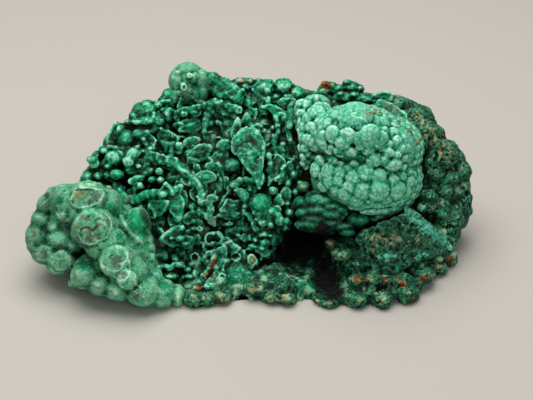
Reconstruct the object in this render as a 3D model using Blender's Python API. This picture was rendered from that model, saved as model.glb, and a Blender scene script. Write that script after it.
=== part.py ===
"""Malachite specimen: one grown mass of green botryoids, stalactites and leaves on a crusty matrix.

The whole specimen is one solid. Its forms are laid out across the display face, which leans back
from the table: u runs to the right from the left tip, v runs up the face from its lowest rim and
w stands out of the face, all in millimetres. The face is measured by eye from SIGHT_DISTANCE away,
so a form that stands further out counts as a little smaller than it looks.

Three kinds of form are grown together:
  lump    (u, v, w, half width, half height, half depth), a rounded botryoid or ledge
  finger  [(u, v, w, radius), ...], a stalactite or ridge that follows a path
  leaf    (root, [(u, v, w), ...], crown), a flat scale whose middle stands out by the crown
The forms overlap, are fused by a voxel remesh, opened by two caves and cut flat where they rest.
"""

import math

import bmesh
import bpy
from mathutils import Matrix, Vector

# Driving dimensions.
MM = 0.001
FACE_MIDDLE = (120.25, 56.0)
FACE_LEAN = math.radians(30.0)
FACE_RISE = 35.0
SIGHT_DISTANCE = 800.0
FUSE_STEP = 1.5
TRIANGLE_BUDGET = 9300
BASE_LEVEL = 0.0
SMOOTH_ROUNDS = 2
# A botryoid's middle sits this share of its radius above the tier that it grows on.
BOTRYOID_STAND = 0.2
# A broken stalactite ends in a dome this much flatter than a round tip.
BROKEN_END = 0.35

LEAN_SIN = math.sin(FACE_LEAN)
LEAN_COS = math.cos(FACE_LEAN)
FACE_AXES = Matrix((
    (1.0, 0.0, 0.0),
    (0.0, LEAN_SIN, -LEAN_COS),
    (0.0, LEAN_COS, LEAN_SIN),
))

# The matrix that everything grows on.
MATRIX_LUMPS = [
    (115, 61, -30, 87, 42, 22),
    (186, 60, -24, 33, 36, 20),
    (120, 11, -2, 58, 12, 18),
    (36, 43, -8, 24, 22, 20),
    (112, 100, -35, 46, 13, 14),
    (168, 97, -28, 32, 12, 14),
    (178, 29, -10, 26, 18, 19),
    (196, 33, -12, 18, 15, 15),
    (57, 80, -26, 19, 14.5, 15),
    (74, 30, -12, 24, 24, 16),
    (118, 66, -24, 28, 22, 18),
    (86, 56, -22, 32, 26, 20),
    (110, 36, -16, 20, 18, 16),
    (140, 24, -26, 44, 17, 20),
    (98, 22, -6, 20, 12, 14),
]

# Left lobe: a bunch of thick stalactites whose broken ends face the viewer.
LOBE_STALACTITES = [
    [(36, 50, -4, 11.5), (31, 55.5, 34, 9.5), (30, 56.5, 40, 8)],
    [(42, 38, -2, 12.5), (37, 42, 34, 11), (35, 43, 42, 9.5)],
    [(50, 27, 0, 11.5), (46.5, 27, 34, 8.5), (45, 26.8, 40, 7)],
    [(56, 17, 6, 8), (50, 18.8, 35, 5.5), (48.5, 19, 39, 4.5)],
    [(59, 13, 10, 7), (55, 12.5, 33, 4.8), (54.3, 12.5, 37, 4)],
    [(61, 10, 12, 6.5), (56, 8, 32, 4.2), (55, 7.8, 36, 3.4)],
    [(63, 11, 12, 6), (60.5, 6, 32, 3.8)],
    [(63, 22, 12, 4), (65, 11, 22, 4), (65, 5, 28, 3.6)],
    [(20, 50, 6, 10), (20, 51, 31, 6.5)],
    [(30, 34, 6, 10), (24, 33, 31, 7)],
    [(36, 20, 8, 8), (30.5, 20.5, 36, 6.2)],
    [(44, 16, 12, 8), (41, 14.5, 34, 5.5)],
]
LOBE_LUMPS = [
    (25, 54, 13, 14, 11.5, 22),
    (11, 53, 4, 6.5, 7, 14),
    (8.5, 46, 6, 6, 6.5, 12),
    (6, 37.5, 8, 6.5, 8, 12),
    (9, 28, 15, 6, 5, 10),
    (17, 25, 22, 5.5, 6, 10),
    (15, 35, 20, 7, 7, 10),
    (21, 19.5, 22, 5.5, 6, 10),
    (35, 13, 22, 10, 4.8, 12),
    (46, 13, 25, 7, 5, 10),
    (42, 33, 25, 8, 7, 14),
    (56, 43, 6, 7, 9.5, 12),
    (61, 34, 8, 4, 10, 12),
    (70, 10, 22, 3.8, 7.8, 8),
    (76.5, 8.5, 20, 3.8, 6.5, 8),
]

# Bowl: leaves and fingers that grow out of the hollow between the lobe and the dome.
BOWL_FINGERS = [
    [(36, 70, -10, 3.2), (33, 74.3, 2, 2.8)],
    [(46, 72, -12, 3.2), (42.7, 76.3, 0, 3)],
    [(50, 74, -12, 3), (46.7, 77.8, -1, 2.7)],
    [(56, 75, -14, 3.2), (53, 79, -2, 3)],
    [(53, 67, -10, 3), (51.5, 74.5, 2, 3.2)],
    [(59, 64, -10, 2.6), (55.5, 66.4, 2, 2.5), (52.5, 65.3, 5, 2.2)],
    [(51, 56.5, -4, 2.4), (47, 60, 4, 2.6), (44.7, 63.2, 5, 2)],
    [(54, 58, -6, 2.6), (54, 61.3, 4, 2.7), (55.2, 62.7, 6, 2.2)],
    [(46, 56.2, 0, 2.4), (55, 55.9, 8, 2.5), (60, 58, 10, 2.5), (66, 59.2, 10, 2.6), (69, 58.8, 11, 2.6)],
    [(48, 54.2, -2, 2), (57.5, 53, 4, 1.8)],
    [(46, 91.5, -16, 2.8), (52, 93.7, -12, 2.8), (58, 94.3, -11, 2.8), (66, 91, -14, 2.8)],
    [(56, 78, -10, 2.6), (65, 77, -4, 2.6), (72, 75, 0, 2.8), (77, 71, 4, 2.8), (82, 68, 6, 2.8),
     (86.5, 64, 6, 2.8), (88, 59.5, 4, 2.6)],
    [(78, 66, -4, 2.2), (81, 63.8, 4, 2.4), (84.5, 64, 6, 2.4)],
    [(69.8, 64, 0, 2), (72.5, 60, 8, 2.8), (73.7, 57, 10, 3.2), (76, 53, 10, 2.8), (77, 48.8, 8, 2.5)],
    [(77, 62.6, 2, 2.2), (73.5, 60, 8, 2.6)],
    [(75.5, 31.5, 0, 2.2), (79, 30, 5, 2.4), (81.8, 28.2, 6, 2.2)],
    [(64.5, 24.3, 10, 2), (70, 22.7, 12, 2), (72, 22.2, 12, 2), (75, 24, 10, 2), (78.5, 23, 8, 1.8)],
    [(86.5, 54.8, 0, 2.2), (90, 55.2, 5, 2.7), (92, 52.3, 7, 2.6), (91.2, 49, 7, 2.8), (88.5, 47, 5, 2.4)],
    [(101.2, 60.8, 2, 2), (103, 63.3, 5, 2.2), (107, 65.5, 5, 2.2), (112, 65.8, 4, 2.2), (117, 65.5, 2, 2.2)],
    [(116.7, 69, 0, 2.4), (116.2, 62.5, 5, 1.9)],
    [(103.5, 60.8, 0, 2.4), (107.3, 60, 6, 3), (109.2, 56, 8, 2.8), (108.7, 51.8, 6, 2.4)],
    [(124, 69.5, -4, 2.4), (121.2, 64.2, 0, 2.2)],
    [(134, 72.2, -6, 2), (131, 72.2, 2, 2), (128.3, 70, 5, 2), (125.3, 67, 7, 2.1)],
    [(93, 25, 11, 1.9), (89.5, 19, 12, 1.9), (86.2, 14.2, 12, 1.8)],
    [(106, 31, -4, 3.6), (103.8, 28, 9, 3.6)],
]
BOWL_LUMPS = [
    (45, 68.7, 0, 3.5, 2.8, 7),
    (40, 73, -4, 3.3, 3.2, 7),
    (36.5, 69.5, -2, 3, 3, 7),
    (31.5, 67.5, -4, 3.6, 3.4, 8),
    (63.5, 66, 0, 2.7, 2.5, 8),
    (67.5, 66, 0, 2.8, 2.8, 8),
    (66, 70, -4, 2.6, 2.4, 8),
    (40, 81.3, -10, 3, 2.8, 7),
    (36, 79, -12, 3.2, 2.7, 8),
    (33.5, 75.8, -10, 2.8, 3.2, 8),
    (53.8, 98, -18, 3, 3, 7),
    (60, 99.3, -18, 4, 4, 8),
    (60.5, 102.8, -20, 4, 3.3, 8),
    (66, 101.5, -20, 3.5, 3.6, 8),
    (70, 106.3, -24, 3.4, 4.4, 9),
    (55, 86.5, -10, 5.5, 3.5, 8),
    (73, 52.3, 4, 2.5, 2.7, 9),
    (73, 46.2, 2, 2.7, 2.8, 9),
    (84.5, 36.5, 4, 3, 2.6, 10),
    (84.5, 40.6, 2, 3.6, 2.6, 10),
    (67.5, 28, 6, 4.5, 4, 10),
    (83, 24.7, 6, 2.3, 1.9, 6),
    (81, 21.5, 8, 2.5, 1.7, 7),
    (81.5, 18, 8, 4, 2.4, 8),
    (88, 51, 0, 3, 4, 9),
    (112, 61, 0, 2.6, 2.1, 9),
    (100.5, 43.6, -2, 3.6, 1.9, 9),
    (94, 45.4, 2, 2.5, 2.1, 9),
    (117.3, 53.8, 4, 6.1, 5.4, 12),
    (123.6, 60.4, 2, 2.5, 2.4, 11),
    (126.2, 56, 4, 2.5, 2.5, 11),
    (120, 47.5, 8, 7, 4.4, 13),
    (124, 49.3, 8, 3.4, 3, 11),
    (119, 41, 8, 5.5, 5, 13),
    (114.3, 43, 6, 2.2, 2.5, 9),
    (114.8, 36, 6, 2.2, 2.2, 9),
    (119, 34.5, 6, 4.5, 4, 12),
    (119, 30, 6, 3.8, 2.3, 10),
    (99, 84, -8, 4, 3, 8),
    (96, 78, -6, 5.2, 3.2, 9),
    (93, 73, -4, 4.2, 2.9, 9),
    (83, 85, -12, 3.6, 2.6, 8),
    (103.5, 74, -1, 4.7, 4.1, 11),
    (113.5, 92.6, -10, 2, 2, 7),
    (93.5, 36.4, 4, 4.8, 3.5, 12),
    (101.5, 35, 0, 2.6, 1.8, 10),
    (104, 32.4, 7, 3.8, 2, 9),
    (98, 17.5, 12, 2.4, 2.4, 8),
    (95, 18.6, 11, 2.3, 2.1, 8),
    (91.5, 13, 12, 3.4, 2.8, 8),
    (85.5, 12, 12, 3.6, 2.2, 8),
    (113, 25, 9, 2.7, 3.6, 10),
    (113.8, 18.6, 10, 5, 2.3, 9),
    (106.5, 17, 6, 8.5, 8.5, 12),
    (138.5, 62.5, -2, 3.8, 3.4, 14),
    (57, 70, -5, 3.2, 2.2, 8),
    (50.5, 87.5, -14, 3.6, 3.4, 9),
    (61, 89.5, -13, 3.4, 3, 8),
    (70, 88, -13, 4.2, 3, 8),
    (73.5, 27, 2, 2.6, 3.4, 9),
    (89, 24, 4, 3.2, 4.6, 9),
    (78, 36.8, 4, 4, 2.6, 10),
    (107, 41, -4, 4, 3, 9),
    (133.5, 69, -6, 3, 3, 9),
    (121, 78, -12, 3, 4, 8),
    (60, 83, -10, 3.6, 2.2, 7),
    (70, 82, -9, 3.8, 2.4, 7),
]
BOWL_LEAVES = [
    ((97, 58, -16), [(90.5, 56.6, 1), (94, 59.3, 1), (99, 61, 0), (97.5, 57.5, 1), (93.5, 55.4, 2)], 1.5),
    ((97, 64, -18), [(94.3, 61, -3), (95.5, 68.5, -5), (98.7, 69, -3), (100, 64, -1), (98.3, 60.3, -1)], 1.5),
    ((73, 70, -18), [(69.3, 70, -6), (73, 66.6, -3), (77, 69.5, -6), (74, 71.7, -8)], 1.5),
    ((63, 74, -20), [(58.5, 75, -8), (63, 71.6, -5), (68, 73, -6), (64, 76, -9)], 1.5),
    ((75, 90, -26), [(66.5, 86.8, -10), (71, 91.8, -13), (75, 88, -10), (71, 84.4, -8)], 2),
    ((108, 70, -18), [(105.5, 68.2, -4), (108.5, 72.6, -4), (113, 71.6, -4), (112, 68, -2)], 1.5),
    ((124, 87, -24), [(121.3, 83, -9), (123, 90.4, -11), (127.5, 88.6, -9), (126, 82.5, -8)], 1.5),
    ((48, 84, -22), [(40.5, 83, -8), (43, 91, -10), (45, 95.7, -12), (48, 90, -10), (50, 83, -7)], 3),
    ((66, 52, -14), [(60.5, 52.3, 6), (62.5, 55.6, 7), (66, 55.6, 8), (71, 55, 8), (69, 51, 7),
                     (65.5, 47.8, 5), (62, 47.2, 4)], 4),
    ((68, 46, -14), [(63.5, 44.3, 0), (66, 46.8, 1), (71, 47.5, 2), (72, 45.3, 1), (67, 43.4, 0)], 1.5),
    ((79, 56, -14), [(77.5, 61.3, 0), (79.7, 60, 0), (80.2, 54, 2), (78.5, 49.6, 2), (76.8, 54, 2)], 1.5),
    ((77, 38, -16), [(66.2, 36, 9), (72, 40, 10), (78, 43.4, 8), (79.4, 40, 8), (83.2, 37.5, 8),
                     (83, 33.5, 8), (80, 32, 9), (73, 33.3, 10)], 4),
    ((85, 28, -14), [(82, 29.7, 4), (84.5, 30.5, 5), (87.2, 26, 5), (84.5, 24.6, 5), (82.3, 26.5, 5)], 2),
    ((86, 58, -14), [(82, 60, 5), (84.5, 61.2, 6), (88, 59.7, 6), (89.7, 57, 5), (86.5, 54.6, 4),
                     (83, 56.3, 4)], 2.5),
    ((83, 47, -16), [(79, 45.3, 4), (80, 49.2, 5), (83, 50.8, 5), (85.7, 49, 4), (86.2, 46.3, 4),
                     (83, 44.1, 4)], 2.5),
    ((89, 69, -20), [(78.5, 71, -2), (86, 70, 1), (94, 70.2, 0), (96.7, 68, 0), (93, 65.4, 3),
                     (87.5, 64.6, 4), (84, 66.3, 3)], 3),
    ((104, 53, -14), [(96.8, 50.6, 6), (100, 55.1, 7), (104, 56.2, 7), (108, 54.5, 8), (107.5, 50.3, 7),
                      (101, 50, 6)], 3),
    ((102, 48, -14), [(94.3, 48.3, 4), (99, 50.3, 5), (107, 49.5, 5), (106, 46.8, 4), (99, 45.8, 3)], 2),
    ((113, 48, -14), [(109.3, 50, 4), (115, 48, 6), (114.8, 45.4, 6), (111.3, 45.6, 5)], 1.5),
    ((113, 82, -24), [(103, 84, -6), (105, 89, -7), (108, 92, -7), (113, 91.5, -8), (117, 90, -8),
                      (120.5, 85, -7), (119, 80, -4), (117.5, 75, -2), (116.5, 66, 1), (113, 73, 0),
                      (108, 78, -2)], 4),
    ((87, 80, -22), [(80, 77, -6), (81, 81.7, -7), (86, 84.5, -7), (92, 83.2, -6), (93.2, 79, -5),
                     (89, 75.1, -4), (83, 74.6, -4)], 2.5),
    ((127, 72, -20), [(126, 78.5, -3), (129.7, 75, -1), (128.7, 71, 1), (124, 66, 2), (121.3, 63, 2),
                      (122.8, 71, 0)], 2.5),
    ((133, 81, -22), [(130.1, 79, -4), (131.3, 84.7, -6), (135.7, 85.2, -5), (136.2, 79, -3),
                      (133, 75.8, -2)], 2),
    ((130, 58, -16), [(127.4, 55.8, 2), (128.4, 61.8, 2), (131.2, 61.2, 2), (130.7, 55.8, 2)], 1.5),
    ((97, 28, -8), [(90, 30.3, 10), (95, 32.4, 11), (99.6, 33.5, 11), (100, 26, 12), (98.4, 21.8, 12),
                    (94, 20.8, 12), (91.8, 25, 11)], 1.5),
]

# Top edge: the round knob, the arch and the crusty ridge behind the bowl.
TOP_FINGERS = [
    [(88, 118, -32, 3.6), (96, 114, -30, 4), (104, 111, -28, 4)],
    [(75, 99.5, -16, 2.6), (80, 101.5, -14, 2.6), (88, 103, -12, 2.6), (94, 104.3, -11, 2.6),
     (100, 101.5, -11, 2.6), (107, 100.3, -14, 2.6)],
    [(93, 103, -12, 2.3), (90.5, 96, -11, 2.3), (89.5, 87, -10, 2.3)],
    [(96, 103, -12, 2.3), (100, 98, -11, 2.3), (104, 92, -10, 2.3)],
    [(103, 87, -10, 1.9), (104.5, 92, -8, 2), (106, 97, -10, 1.9)],
    [(110.3, 93.5, -12, 1.9), (110.5, 98.8, -9, 1.9)],
    [(128, 103, -18, 2.8), (127.2, 98, -8, 2.8), (126.5, 92, -6, 2.2), (126.3, 90, -5, 1.8)],
    [(128, 97, -8, 2.3), (130, 92, -5, 2.3), (132.1, 87, -3, 1.9)],
    [(133.5, 103, -14, 2.8), (132.5, 98, -6, 2.5), (132.2, 93, -3, 2)],
    [(137.5, 98, -6, 2.4), (136.5, 93.5, -2, 2.4), (136.3, 91, -1, 1.8)],
]
TOP_LUMPS = [
    (81, 115, -28, 9.5, 9.5, 13),
    (88, 109, -26, 5, 6.5, 10),
    (75, 106, -26, 6, 5, 10),
    (102, 112.5, -28, 4.2, 3.6, 9),
    (98, 108, -24, 4.2, 3.2, 8),
    (81, 98.8, -15, 6, 2.4, 8),
    (81.5, 93, -14, 5.5, 3, 8),
    (112, 103, -22, 4, 6.5, 9),
    (117.5, 104, -24, 4, 6, 9),
    (118.5, 111.5, -28, 6.3, 4.8, 11),
    (128.5, 111.3, -28, 5.8, 5, 11),
    (135, 108.7, -28, 4.2, 3.8, 10),
    (109.5, 112.5, -30, 5, 4, 10),
    (155, 110.8, -28, 5, 3.4, 9),
    (163, 112, -28, 4.6, 3.6, 9),
    (159, 107, -22, 6, 3.2, 9),
    (168, 106.5, -20, 6, 3.2, 9),
]
TOP_LEAVES = [
    ((126, 102, -26), [(118, 102.4, -12), (122.5, 103.5, -11), (129.7, 99.3, -10), (126, 97, -9),
                       (122, 98.8, -9)], 1.5),
    ((149.5, 106, -32), [(145.8, 110.5, -24), (149.5, 115.5, -25), (152.5, 112, -24), (150, 108, -22)], 1),
    ((178, 104, -30), [(171, 106, -12), (175, 109, -16), (181, 110, -17), (183.3, 107.5, -14),
                       (180, 105, -10)], 1.5),
    ((184, 98, -22), [(176, 105, -4), (180, 105.4, -6), (190, 99, -4), (188.2, 95.3, 2), (182, 95.2, 4),
                      (176.3, 100, 2)], 2),
]

# Dome: two tiers of botryoids, the upper one hanging over the lower.
DOME_TIERS = [
    (167, 87, 3, 24, 13.8, 32.5),
    (170, 70.5, 2, 26.5, 20, 29),
]
DOME_LUMPS = [
    (147.5, 55, 12, 6, 4.4, 10),
    (147, 48.4, 14, 3.6, 3.4, 10),
    (152, 49, 14, 5, 3.2, 10),
    (156, 51, 13, 3, 3.2, 10),
    (139.5, 48.7, 10, 3, 3, 10),
    (143.5, 43.4, 11, 7.2, 3.2, 12),
    (155, 43, 11, 5.6, 2.8, 11),
    (164, 46, 9, 5.5, 3.6, 13),
    (160.2, 39.9, 11, 2.8, 2.2, 9),
    (137.5, 54, 0, 2.5, 2.5, 14),
    (147, 90, -4, 10.5, 15, 16),
    (145, 106.7, -18, 6.5, 3.6, 11),
    (147.5, 101.7, -10, 5, 3, 11),
    (146.3, 98.6, -4, 4.2, 2.8, 9),
    (139.5, 102.5, -12, 3.6, 3.7, 11),
    (142, 91.3, 4, 3, 2.9, 9),
    (141.7, 86.5, 5, 3.3, 4.2, 10),
    (139, 88, 0, 2.7, 6, 10),
    (138.5, 78, 0, 2.2, 7.5, 9),
    (146, 94.8, 2, 3, 2.8, 9),
    (150.5, 97.3, 0, 3.5, 3, 9),
    (154.5, 100.8, -6, 4, 2.2, 8),
]
# Botryoids that sit on the upper tier, then on the lower one: (u, v, radius).
UPPER_BOTRYOIDS = [
    (153.5, 89, 4), (161.5, 88, 3.8), (149.5, 83.2, 3), (154, 82.2, 2.8), (158, 80.8, 3.2),
    (162.3, 81.4, 3.3), (148.8, 88.2, 3.2), (156.8, 85, 3.6), (170.5, 82.7, 4.2), (174, 86.8, 5),
    (177.5, 83.5, 4), (168, 86.3, 3.6), (182, 86, 3.6), (186.3, 88, 3), (185, 81, 3.3),
    (179.5, 95, 4), (174, 93.6, 3.6), (183, 91.6, 3.2), (152.8, 94, 2.8), (165, 96, 6.5), (159, 94.5, 5),
]
LOWER_BOTRYOIDS = [
    (174, 77.3, 4.2), (179, 76.7, 3.8), (183, 74.3, 4.8), (187, 73, 4), (190.6, 75.6, 3.6),
    (194.3, 72.6, 3.6), (190.5, 80, 3.2), (148, 75, 4.6), (147.3, 69.5, 4.2), (152, 72.5, 3.8),
    (151.3, 65.6, 3.8), (157, 67, 3.4), (156.8, 63, 3.4), (162, 71.3, 3), (163.5, 66.5, 4.2),
    (168, 70.5, 4.2), (168, 64.8, 3.6), (162, 60, 4.4), (168.3, 59.2, 4.6), (174.5, 66, 5),
    (174.7, 59.8, 4.6), (180.7, 66, 4.2), (181, 60, 4.6), (186.7, 65.3, 4.2), (187, 59.2, 4.4),
    (192, 63.5, 4), (192, 58, 3.4), (195, 66.5, 3.4), (172, 53.6, 4), (178, 53.8, 4), (184, 54.2, 4),
    (165.8, 54, 3.6),
]

# Lower rim and right side: crusty ledges around the caves and the broken matrix.
RIM_FINGERS = [
    [(141, 28, -2, 2.4), (143.5, 30, 5, 2.2), (146.5, 29.3, 7, 2.2), (148, 25, 7, 2.4), (151, 18.5, 8, 2.6)],
    [(176, 22.5, 12, 2.8), (184, 22.5, 12, 2.8), (192, 25.8, 8, 2.8), (200, 29, 4, 2.8), (206, 31, 0, 2.6)],
    [(190, 48.3, 2, 3.2), (196, 44.3, 3, 3), (203, 40.5, 1, 3), (208, 36.8, -2, 3), (212.5, 32.8, -6, 2.8)],
]
RIM_LUMPS = [
    (137.5, 17, 4, 4, 8.5, 10),
    (131.7, 18.8, 8, 2.4, 2, 8),
    (126, 22, 2, 3, 2.6, 9),
    (130, 13, 10, 7, 5, 11),
    (123, 8, 14, 5, 3.6, 10),
    (130.5, 7, 15, 4.6, 3.2, 10),
    (112.5, 12.3, 12, 3.6, 3.4, 10),
    (117.3, 12.5, 12, 3.2, 3.4, 10),
    (98, 8, 14, 5.5, 3.2, 10),
    (90, 6.5, 15, 5, 4.2, 10),
    (83.5, 6.5, 16, 5, 4.4, 10),
    (152, 5, 17, 5, 3, 9),
    (146, 7.3, 15, 3, 2.6, 8),
    (165, 6.5, 16, 6, 4.6, 11),
    (178, 6.5, 16, 5.4, 4.8, 11),
    (173, 16, 14, 4, 3.6, 9),
    (166, 16, 14, 4, 3.3, 9),
    (179, 16, 12, 3.4, 2.8, 9),
    (189.5, 9.8, 12, 6.5, 6, 12),
    (187.5, 15.5, 12, 4.6, 4, 10),
    (199, 18.3, 4, 5, 3.6, 11),
    (205.5, 22.3, -2, 4.6, 3.7, 11),
    (211, 26.4, -10, 4, 3.8, 10),
    (155, 21, 10, 3.4, 2.4, 9),
    (157.5, 28.5, 10, 5, 3, 10),
    (151, 34.5, 6, 3, 2.2, 9),
    (161, 35, 2, 6, 4, 12),
    (163, 24, 8, 7, 6, 12),
    (169, 30, 8, 5, 5, 12),
    (178, 36, 10, 6.5, 4.6, 12),
    (187, 35, 8, 5.5, 4.2, 12),
    (180, 28.5, 12, 7, 3.6, 11),
    (190, 28, 4, 9, 4.5, 12),
    (194, 38, 2, 5, 3.2, 9),
    (184, 44, 4, 6, 3, 9),
    (172, 40, 6, 5, 3, 9),
    (199, 25, -2, 5, 3, 9),
    (208, 34, -8, 4, 3, 8),
    (171, 10, 16, 4, 3, 8),
    (184, 9, 14, 4, 3, 8),
    (195, 14, 8, 4, 3, 8),
    (159, 9, 15, 4, 3, 8),
]
RIGHT_LUMPS = [
    (196, 88, -12, 10, 9, 14),
    (195, 97, -18, 8, 6.5, 12),
    (206, 78, -14, 9, 8, 14),
    (187, 103.3, -22, 5.5, 3.9, 10),
    (193.5, 100, -22, 5, 4.6, 10),
    (200, 93.5, -24, 4, 4, 9),
    (205, 87.5, -24, 4, 5, 9),
    (211, 81.5, -24, 4, 3.9, 9),
    (215.5, 76.5, -24, 3.4, 4, 9),
    (217.3, 70.5, -22, 4.3, 5, 10),
    (218, 63, -24, 3.4, 4.4, 9),
    (219, 56.5, -26, 3.4, 4, 9),
    (219, 50.5, -26, 3.5, 3, 9),
    (216.5, 46, -24, 4, 4, 10),
    (212.5, 39, -18, 4, 5.5, 10),
    (203, 74.5, -8, 4.6, 3.4, 9),
    (208, 49.6, -6, 3, 2.8, 9),
    (207.5, 54, -8, 3, 2.6, 9),
    (202.5, 52, -6, 3.2, 2.7, 9),
    (198, 52.5, -4, 2.8, 3.2, 9),
    (205, 63, -14, 8, 8, 12),
    (210, 46, -14, 8, 8, 12),
    (200, 36, -8, 9, 7, 12),
    (191, 85, 0, 3, 2.6, 6),
    (199, 91, -4, 3.4, 2.6, 7),
    (204, 84, -6, 3.2, 2.8, 7),
    (191, 93, -4, 3, 3, 7),
    (210, 75, -8, 3, 3, 7),
    (197, 83.5, -1, 2.8, 2.2, 6),
    (212, 67, -12, 4, 3.4, 8),
    (205, 69, -5, 4, 3, 7),
    (201, 58, -3, 4, 3, 8),
    (209, 60, -8, 3, 3, 8),
]

# Back: broad lumps on the side that faces away.
BACK_LUMPS = [
    (70, 70, -40, 24, 22, 12),
    (105, 84, -42, 26, 18, 12),
    (146, 78, -42, 26, 22, 12),
    (180, 66, -38, 22, 22, 12),
    (120, 54, -46, 34, 20, 11),
    (92, 46, -44, 22, 16, 11),
    (40, 54, -18, 18, 14, 14),
    (160, 46, -42, 24, 16, 11),
]

# Caves, in the specimen's own axes: (middle, half sizes) of a rounded hollow.
CAVES = [
    ((17.0, -9.0, 15.5), (14.5, 27.0, 12.0)),
    ((29.5, -30.0, 9.4), (10.0, 21.0, 8.0)),
]
# Notches that let daylight under the front rim.
NOTCHES = [
    ((-11.5, -46.0, 0.0), (4.5, 12.0, 4.6)),
    ((20.0, -46.0, 0.0), (2.8, 10.0, 3.4)),
    ((62.0, -40.0, 0.0), (2.6, 10.0, 4.0)),
]

MALACHITE_COLOUR = (0.045, 0.27, 0.15, 1.0)
MALACHITE_ROUGHNESS = 0.6


def place(u, v, w):
    """Return the point, in metres, that lies at (u, v) across the face and stands out by w."""
    nearness = (SIGHT_DISTANCE - w) / SIGHT_DISTANCE
    across = (u - FACE_MIDDLE[0]) * nearness
    up = (v - FACE_MIDDLE[1]) * nearness
    return (FACE_AXES @ Vector((across, up, w)) + Vector((0.0, 0.0, FACE_RISE))) * MM


def seen_size(size, w):
    """Return a size in metres, shrunk by how far its form stands out towards the eye."""
    return size * MM * (SIGHT_DISTANCE - w) / SIGHT_DISTANCE


def add_lump(clay, u, v, w, half_width, half_height, half_depth):
    """Add one rounded lump to the clay."""
    half_sizes = (seen_size(half_width, w), seen_size(half_height, w), half_depth * MM)
    matrix = Matrix.Translation(place(u, v, w)) @ FACE_AXES.to_4x4() @ Matrix.Diagonal(half_sizes).to_4x4()
    detail = 4 if max(half_width, half_height) > 12 else 2
    bmesh.ops.create_icosphere(clay, subdivisions=detail, radius=1.0, matrix=matrix)


def add_leaf(clay, root, outline, crown):
    """Add one leaf: an outline with a raised middle, tapering back to its root."""
    middle = sum((Vector(point) for point in outline), Vector()) / len(outline)
    front = clay.verts.new(place(middle.x, middle.y, middle.z + crown))
    back = clay.verts.new(place(*root))
    rim = [clay.verts.new(place(*point)) for point in outline]
    faces = []
    for here, after in zip(rim, rim[1:] + rim[:1]):
        faces.append(clay.faces.new((front, after, here)))
        faces.append(clay.faces.new((back, here, after)))
    bmesh.ops.recalc_face_normals(clay, faces=faces)


def curve_through(points, steps):
    """Return points on a smooth curve that passes through the given ones."""
    path = [Vector(point) for point in points]
    path = [path[0] * 2 - path[1]] + path + [path[-1] * 2 - path[-2]]
    smooth = []
    for before, start, end, after in zip(path, path[1:], path[2:], path[3:]):
        for step in range(steps):
            t = step / steps
            smooth.append(0.5 * (2 * start + (end - before) * t
                                 + (2 * before - 5 * start + 4 * end - after) * t ** 2
                                 + (3 * start - before - 3 * end + after) * t ** 3))
    smooth.append(path[-2])
    return smooth


def finger_rings(points, end_shape):
    """Return (place, radius) along a finger, with both ends closed by a dome of the given height."""
    rings = []
    for u, v, w, radius in curve_through(points, 4):
        rings.append((place(u, v, w), seen_size(radius, w)))
    rounded = []
    for at_end, inner in ((rings[0], rings[1]), (rings[-1], rings[-2])):
        outward = (at_end[0] - inner[0]).normalized()
        cap = []
        for share in (0.95, 0.8, 0.5):
            tip = at_end[0] + outward * at_end[1] * share * end_shape
            cap.append((tip, at_end[1] * math.sqrt(1 - share ** 2)))
        rounded.append(cap)
    return rounded[0] + rings + rounded[1][::-1]


def finger_mesh(fingers, end_shape):
    """Return a mesh of fingers, as round tubes along their paths."""
    curve = bpy.data.curves.new("fingers", "CURVE")
    curve.dimensions = "3D"
    curve.bevel_depth = MM
    curve.bevel_resolution = 2
    curve.use_fill_caps = True
    for points in fingers:
        rings = finger_rings(points, end_shape)
        spline = curve.splines.new("POLY")
        spline.points.add(len(rings) - 1)
        for point, (centre, radius) in zip(spline.points, rings):
            point.co = (*centre, 1.0)
            point.radius = radius / MM
    tubes = bpy.data.objects.new("fingers", curve)
    bpy.context.collection.objects.link(tubes)
    bpy.context.view_layer.update()
    mesh = bpy.data.meshes.new_from_object(tubes.evaluated_get(bpy.context.evaluated_depsgraph_get()))
    bpy.data.objects.remove(tubes)
    bpy.data.curves.remove(curve)
    return mesh


def seat_on_tier(tier, u, v, radius):
    """Return (u, v, w) for a botryoid seen at (u, v) whose middle lies just under the tier's skin."""
    middle_u, middle_v, middle_w, half_width, half_height, half_depth = tier
    half_width += BOTRYOID_STAND * radius
    half_height += BOTRYOID_STAND * radius
    half_depth += BOTRYOID_STAND * radius
    share = 1 - ((u - middle_u) / half_width) ** 2 - ((v - middle_v) / half_height) ** 2
    return u, v, middle_w + half_depth * math.sqrt(max(share, 0.0))


def add_botryoids(clay, tier, botryoids):
    """Seat botryoids on a tier of the dome."""
    for u, v, radius in botryoids:
        add_lump(clay, *seat_on_tier(tier, u, v, radius), radius, radius, radius)


def clay_object():
    """Lay out every form and return them as one object, still separate bodies."""
    clay = bmesh.new()
    lumps = MATRIX_LUMPS + LOBE_LUMPS + BOWL_LUMPS + TOP_LUMPS + DOME_TIERS + DOME_LUMPS
    lumps += RIM_LUMPS + RIGHT_LUMPS + BACK_LUMPS
    for lump in lumps:
        add_lump(clay, *lump)
    add_botryoids(clay, DOME_TIERS[0], UPPER_BOTRYOIDS)
    add_botryoids(clay, DOME_TIERS[1], LOWER_BOTRYOIDS)
    for leaf in BOWL_LEAVES + TOP_LEAVES:
        add_leaf(clay, *leaf)
    clay.from_mesh(finger_mesh(LOBE_STALACTITES, BROKEN_END))
    clay.from_mesh(finger_mesh(BOWL_FINGERS + TOP_FINGERS + RIM_FINGERS, 1.0))
    mesh = bpy.data.meshes.new("malachite_specimen")
    clay.to_mesh(mesh)
    clay.free()
    specimen = bpy.data.objects.new("malachite_specimen", mesh)
    bpy.context.collection.objects.link(specimen)
    return specimen


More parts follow.
